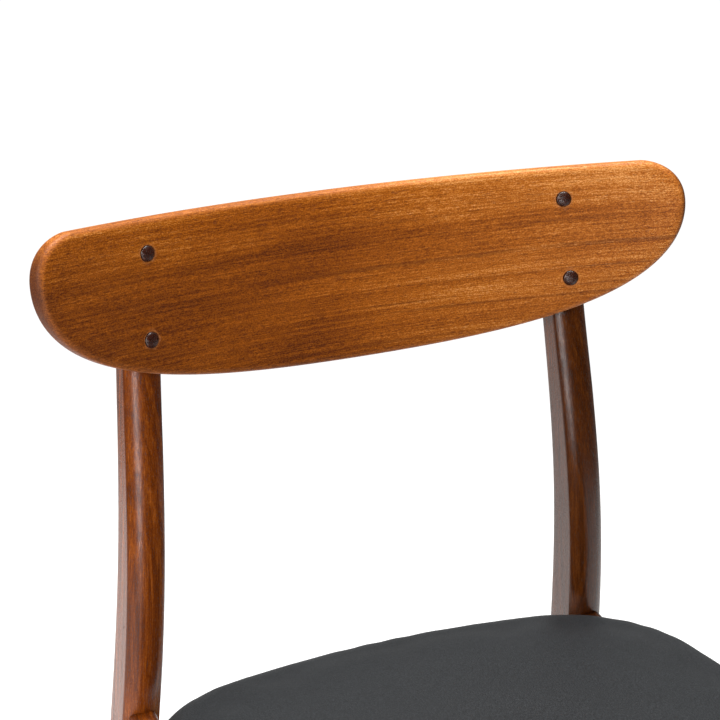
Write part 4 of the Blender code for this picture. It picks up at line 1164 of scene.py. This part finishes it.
def inflate(pad):
    """Blows the pad up as cloth, held where its leather is fastened under the board."""
    modify(pad, "REMESH", mode="VOXEL", voxel_size=PAD_VOXEL)
    settle(pad)
    before = points_of(pad.data)
    held = pad.vertex_groups.new(name="held")
    held.add([i for i, z in enumerate(before[:, 2]) if z < SEAT_LOW.z + PAD_HELD], 1.0, "REPLACE")
    cloth = modify(pad, "CLOTH")
    cloth.collision_settings.use_collision = False
    cloth.settings.effector_weights.gravity = 0
    for name, value in {
        "quality": 6, "mass": 0.4, "tension_stiffness": 40, "compression_stiffness": 30,
        "shear_stiffness": 15, "bending_stiffness": 6, "use_pressure": True, "uniform_pressure_force": 4.0,
        "vertex_group_mass": "held",
    }.items():
        setattr(cloth.settings, name, value)
    for number in range(1, PAD_FRAMES + 1):
        bpy.context.scene.frame_set(number)
    graph = bpy.context.evaluated_depsgraph_get()
    after = points_of(pad.evaluated_get(graph).to_mesh())
    pad.modifiers.clear()
    bpy.context.scene.frame_set(1)
    normals = normals_of(pad.data)
    move = after - before
    outward = (move * normals).sum(1)[:, None]
    along = move - outward * normals
    swell = PAD_SWELL_LIMIT * np.tanh(np.maximum(outward, 0) / PAD_SWELL_LIMIT)
    swell += np.clip(outward, -PAD_SHRINK_LIMIT, 0)
    slide = along * np.minimum(1, PAD_SLIDE_LIMIT / np.maximum(np.linalg.norm(along, axis=1), 1e-9))[:, None]
    put_points(pad.data, before + blurred(pad.data, swell * normals + slide, PAD_BLURS))


def pull_leather(points, normals):
    """Lets the leather bulge a little between the staples that pull it round the board, low on the edge."""
    inside, round_it, total = outline_measure(points)
    pulls = round(total / PULL_SPACING)
    uneven = 0.18 * np.sin(round_it * 61) + 0.11 * np.sin(round_it * 23)
    wave = np.cos(math.tau * (round_it / total * pulls + uneven))
    depth = PULL_DEPTH * (0.6 + 0.4 * np.sin(round_it * 37 + 1.0))
    height = np.clip((points[:, 2] - SEAT_LOW.z) / (SEAT_HIGH.z - SEAT_LOW.z), 0, 1)
    fade = np.clip(1.5 - height, 0, 1) * (height > 0.03)
    near = np.clip(1 - inside / PULL_REACH, 0, 1) ** 1.5
    return points + normals * (depth * (0.5 - 0.5 * wave) * fade * near)[:, None]


def open_underside(pad):
    """Takes away the underside's middle, which leaves a strip of leather turned under the board."""
    with editing(pad.data) as edit:
        centres = np.array([face.calc_center_median() for face in edit.faces])
        inside, _, _ = outline_measure(centres)
        gone = (inside > LEATHER_TURNED_UNDER) & (centres[:, 2] < SEAT_LOW.z + 0.003)
        faces = [face for face, is_gone in zip(edit.faces, gone) if is_gone]
        bmesh.ops.delete(edit, geom=faces, context="FACES")


def build_cushion(material):
    pad = add_object("seat_upholstery", seat_shell(PAD_START, LEATHER_CROWN))
    inflate(pad)
    modify(pad, "SUBSURF", levels=1, render_levels=1)
    settle(pad)
    points = pull_leather(points_of(pad.data), normals_of(pad.data))
    points[points[:, 2] < SEAT_LOW.z + PAD_FLAT, 2] = SEAT_LOW.z
    put_points(pad.data, points)
    open_underside(pad)
    modify(pad, "SOLIDIFY", thickness=LEATHER_THICKNESS, offset=-1)
    settle(pad)
    finish_piece(pad, material, "black_leather", "seat_cover", sharp=60, edges=0.0016)


def build_foam(material):
    low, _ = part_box("seat_foam")
    pad = add_object("foam_pad", seat_shell(LEATHER_THICKNESS + FOAM_GAP, FOAM_CROWN, low.z))
    finish_piece(pad, material, "foam", "seat_foam")


def build_dust_cover(material):
    """A thin sheet stapled under the seat, which sags inside the rails with a faint ripple."""
    low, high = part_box("dust_cover")
    insets = [DUST_COVER_INSET + more for more in (0, 0.004, 0.010)]
    rings = [seat_ring(inset, high.z) for inset in insets]
    mesh = loft(rings + [seat_ring(insets[-1], high.z, scale) for scale in np.linspace(0.96, 0.04, 22)])
    with editing(mesh) as edit:
        outer_cap = next(face for face in edit.faces if len(face.verts) > 4)
        bmesh.ops.delete(edit, geom=[outer_cap], context="FACES_ONLY")
    points = points_of(mesh)
    inside, _, _ = outline_measure(points)
    slack = np.clip((inside - 0.040) / 0.12, 0, 1)
    x, y = points[:, 0], points[:, 1]
    ripple = 0.0004 * np.sin(x * 71 + 1.2 * np.sin(y * 19)) * np.sin(y * 43 + 0.7)
    points[:, 2] -= DUST_COVER_SAG * (3 * slack**2 - 2 * slack**3) + ripple * slack
    put_points(mesh, points)
    cover = add_object("under_cloth", mesh)
    modify(cover, "SOLIDIFY", thickness=DUST_COVER_THICKNESS, offset=0)
    settle(cover)
    points = points_of(cover.data)
    points[:, 2] -= points[:, 2].max() - high.z
    put_points(cover.data, points)
    face_outward(cover.data)
    finish_piece(cover, material, "black_cloth", "dust_cover")
    area = abs(signed_area(seat_outline(DUST_COVER_INSET)))


def staple_mesh():
    """One staple: a flat wire crown with rounded shoulders and two short legs upward, about the origin."""
    end, wide, thick = STAPLE_CROWN / 2, STAPLE_WIDTH / 2, STAPLE_THICKNESS
    path = [(-end, STAPLE_LEG), (-end, STAPLE_SHOULDER), (-end + STAPLE_SHOULDER, 0.0)]
    path += [(-x, z) for x, z in reversed(path)]
    rings = []
    for number, (x, z) in enumerate(path):
        inner_x, inner_z = x * (1 - thick / abs(x)), z + (thick if number in (2, 3) else 0)
        rings.append([(x, -wide, z), (x, wide, z), (inner_x, wide, inner_z), (inner_x, -wide, inner_z)])
    return loft(rings)


def build_staples(material):
    """A row of staples round the dust cover, each along its edge."""
    low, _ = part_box("dust_cover")
    line = seat_outline(DUST_COVER_INSET + 0.006)
    closed = np.vstack([line, line[:1]])
    length = np.concatenate([[0], np.cumsum(np.linalg.norm(np.diff(closed, axis=0), axis=1))])
    random = np.random.default_rng(7)
    one = staple_mesh()
    mesh = bpy.data.meshes.new("dust_cover_staples")
    with editing(mesh) as joined:
        for number in range(STAPLES):
            at = (number + 0.5 + random.uniform(-0.12, 0.12)) / STAPLES * length[-1]
            here, ahead = (
                [np.interp(along, length, closed[:, axis]) for axis in (0, 1)] for along in (at, at + 0.002)
            )
            turn = math.atan2(ahead[1] - here[1], ahead[0] - here[0]) + random.uniform(-0.13, 0.13)
            copy = one.copy()
            copy.transform(Matrix.Translation((*here, low.z - 0.0004)) @ Matrix.Rotation(turn, 4, "Z"))
            joined.from_mesh(copy)
            bpy.data.meshes.remove(copy)
    finish_piece(add_object("dust_cover_staples", mesh), material, "zinc_steel", sharp=None)


# ---------------------------------------------------------------------------------------------- studio


def build_floor():
    """A pale round floor, lit a little from within so that its far edge is lost in the backdrop."""
    bpy.ops.mesh.primitive_circle_add(vertices=96, radius=1.7, fill_type="NGON", location=(0, 0.2, -0.0002))
    floor = bpy.context.object
    floor.name = "floor"
    look = Look("floor", Specular_IOR_Level=0.0, Emission_Strength=0.32, Emission_Color=(1, 1, 1, 1))
    cloud = look.noise(look.place(), 1.5, 3.0)
    colour = look.ramp(cloud, ((0.3, (0.84, 0.84, 0.835, 1)), (0.7, (0.86, 0.86, 0.855, 1))))
    floor.data.materials.append(look.dress(colour, look.between(cloud, 0, 1, 0.75, 0.85)))


def add_area_light(name, position, target, size, power):
    light = bpy.data.lights.new(name, "AREA")
    light.shape = "RECTANGLE"
    light.size, light.size_y = size
    light.energy = power
    add_object(name, light).matrix_world = aim(Vector(position), Vector(position) - Vector(target))


def build_world(dim, bright, seen):
    """Soft light, dim from in front of the chair and bright from behind; the camera sees a white backdrop."""
    world = bpy.data.worlds.new("studio")
    bpy.context.scene.world = world
    world.use_nodes = True
    tree = world.node_tree
    axes = add_node(tree, "SeparateXYZ", {0: add_node(tree, "TexCoord").outputs["Generated"]})
    lit = add_node(tree, "MapRange", {0: axes.outputs["Y"], 1: -0.5, 2: 0.7, 3: dim, 4: bright})
    white = (1, 1, 1, 1)
    around = add_node(tree, "Background", {"Color": white, "Strength": lit.outputs[0]})
    backdrop = add_node(tree, "Background", {"Color": white, "Strength": seen})
    by_camera = add_node(tree, "LightPath").outputs["Is Camera Ray"]
    mix = add_node(tree, "MixShader", {0: by_camera, 1: around.outputs[0], 2: backdrop.outputs[0]})
    tree.links.new(mix.outputs[0], tree.nodes["World Output"].inputs[0])


def build_camera():
    """The photograph's viewing angle, from a fit to the plugs, outlines, posts and seat."""
    azimuth, elevation, roll = map(math.radians, (-23.05, 19.23, -1.05))
    distance = 1.2934
    target = Vector((0.0029, BACKREST_MIDDLE.y, BACKREST_MIDDLE.z - 0.0691))
    level = math.cos(elevation)
    back = Vector((math.sin(azimuth) * level, -math.cos(azimuth) * level, math.sin(elevation)))
    camera = add_object("camera", bpy.data.cameras.new("camera"))
    camera.data.sensor_width, camera.data.lens = 36, 96.1
    turn = (-back).to_track_quat("-Z", "Y").to_matrix() @ Matrix.Rotation(roll, 3, "Z")
    camera.matrix_world = Matrix.Translation(target + back * distance) @ turn.to_4x4()
    camera.data.clip_start = 0.05
    bpy.context.scene.camera = camera


def build_studio():
    build_floor()
    build_world(0.02, 0.41, 1.05)
    chair = Vector((0, 0.05, 0.60))
    add_area_light("key", (-2.8, -1.2, 1.8), chair, (0.9, 0.9), 76)
    add_area_light("front", (-0.85, -1.7, 0.48), chair, (0.26, 0.95), 18)
    add_area_light("top", (0.1, 0.32, 2.6), chair, (1.2, 0.7), 80)
    add_area_light("fill", (0.25, -0.45, 1.75), BACKREST_MIDDLE, (0.5, 0.3), 1.6)
    bpy.context.scene.view_settings.view_transform = "Standard"


# ---------------------------------------------------------------------------------------------- assembly

# The right-hand rear leg and side rail take a darker copy of the walnut: painted shade for the side away from
# the key light.
WALNUTS = {"left": walnut_stain("walnut_stain", 1.0), "right": walnut_stain("walnut_stain_painted_shade", 0.66)}
BEECH = beech()
STEEL = zinc_steel()

build_backrest(teak(), plug_wood())
build_rear_legs(WALNUTS)
build_front_legs(WALNUTS["left"])
build_rails(WALNUTS)
build_screws(STEEL)
build_dowels(BEECH)
build_blocks(BEECH)
build_glides(nylon())
build_cushion(leather())
build_foam(foam())
build_dust_cover(dust_cloth())
build_staples(STEEL)
BOARD = NODES["seat_board"]
BOARD.data.materials.clear()
BOARD.data.materials.append(plywood())
build_studio()
build_camera()
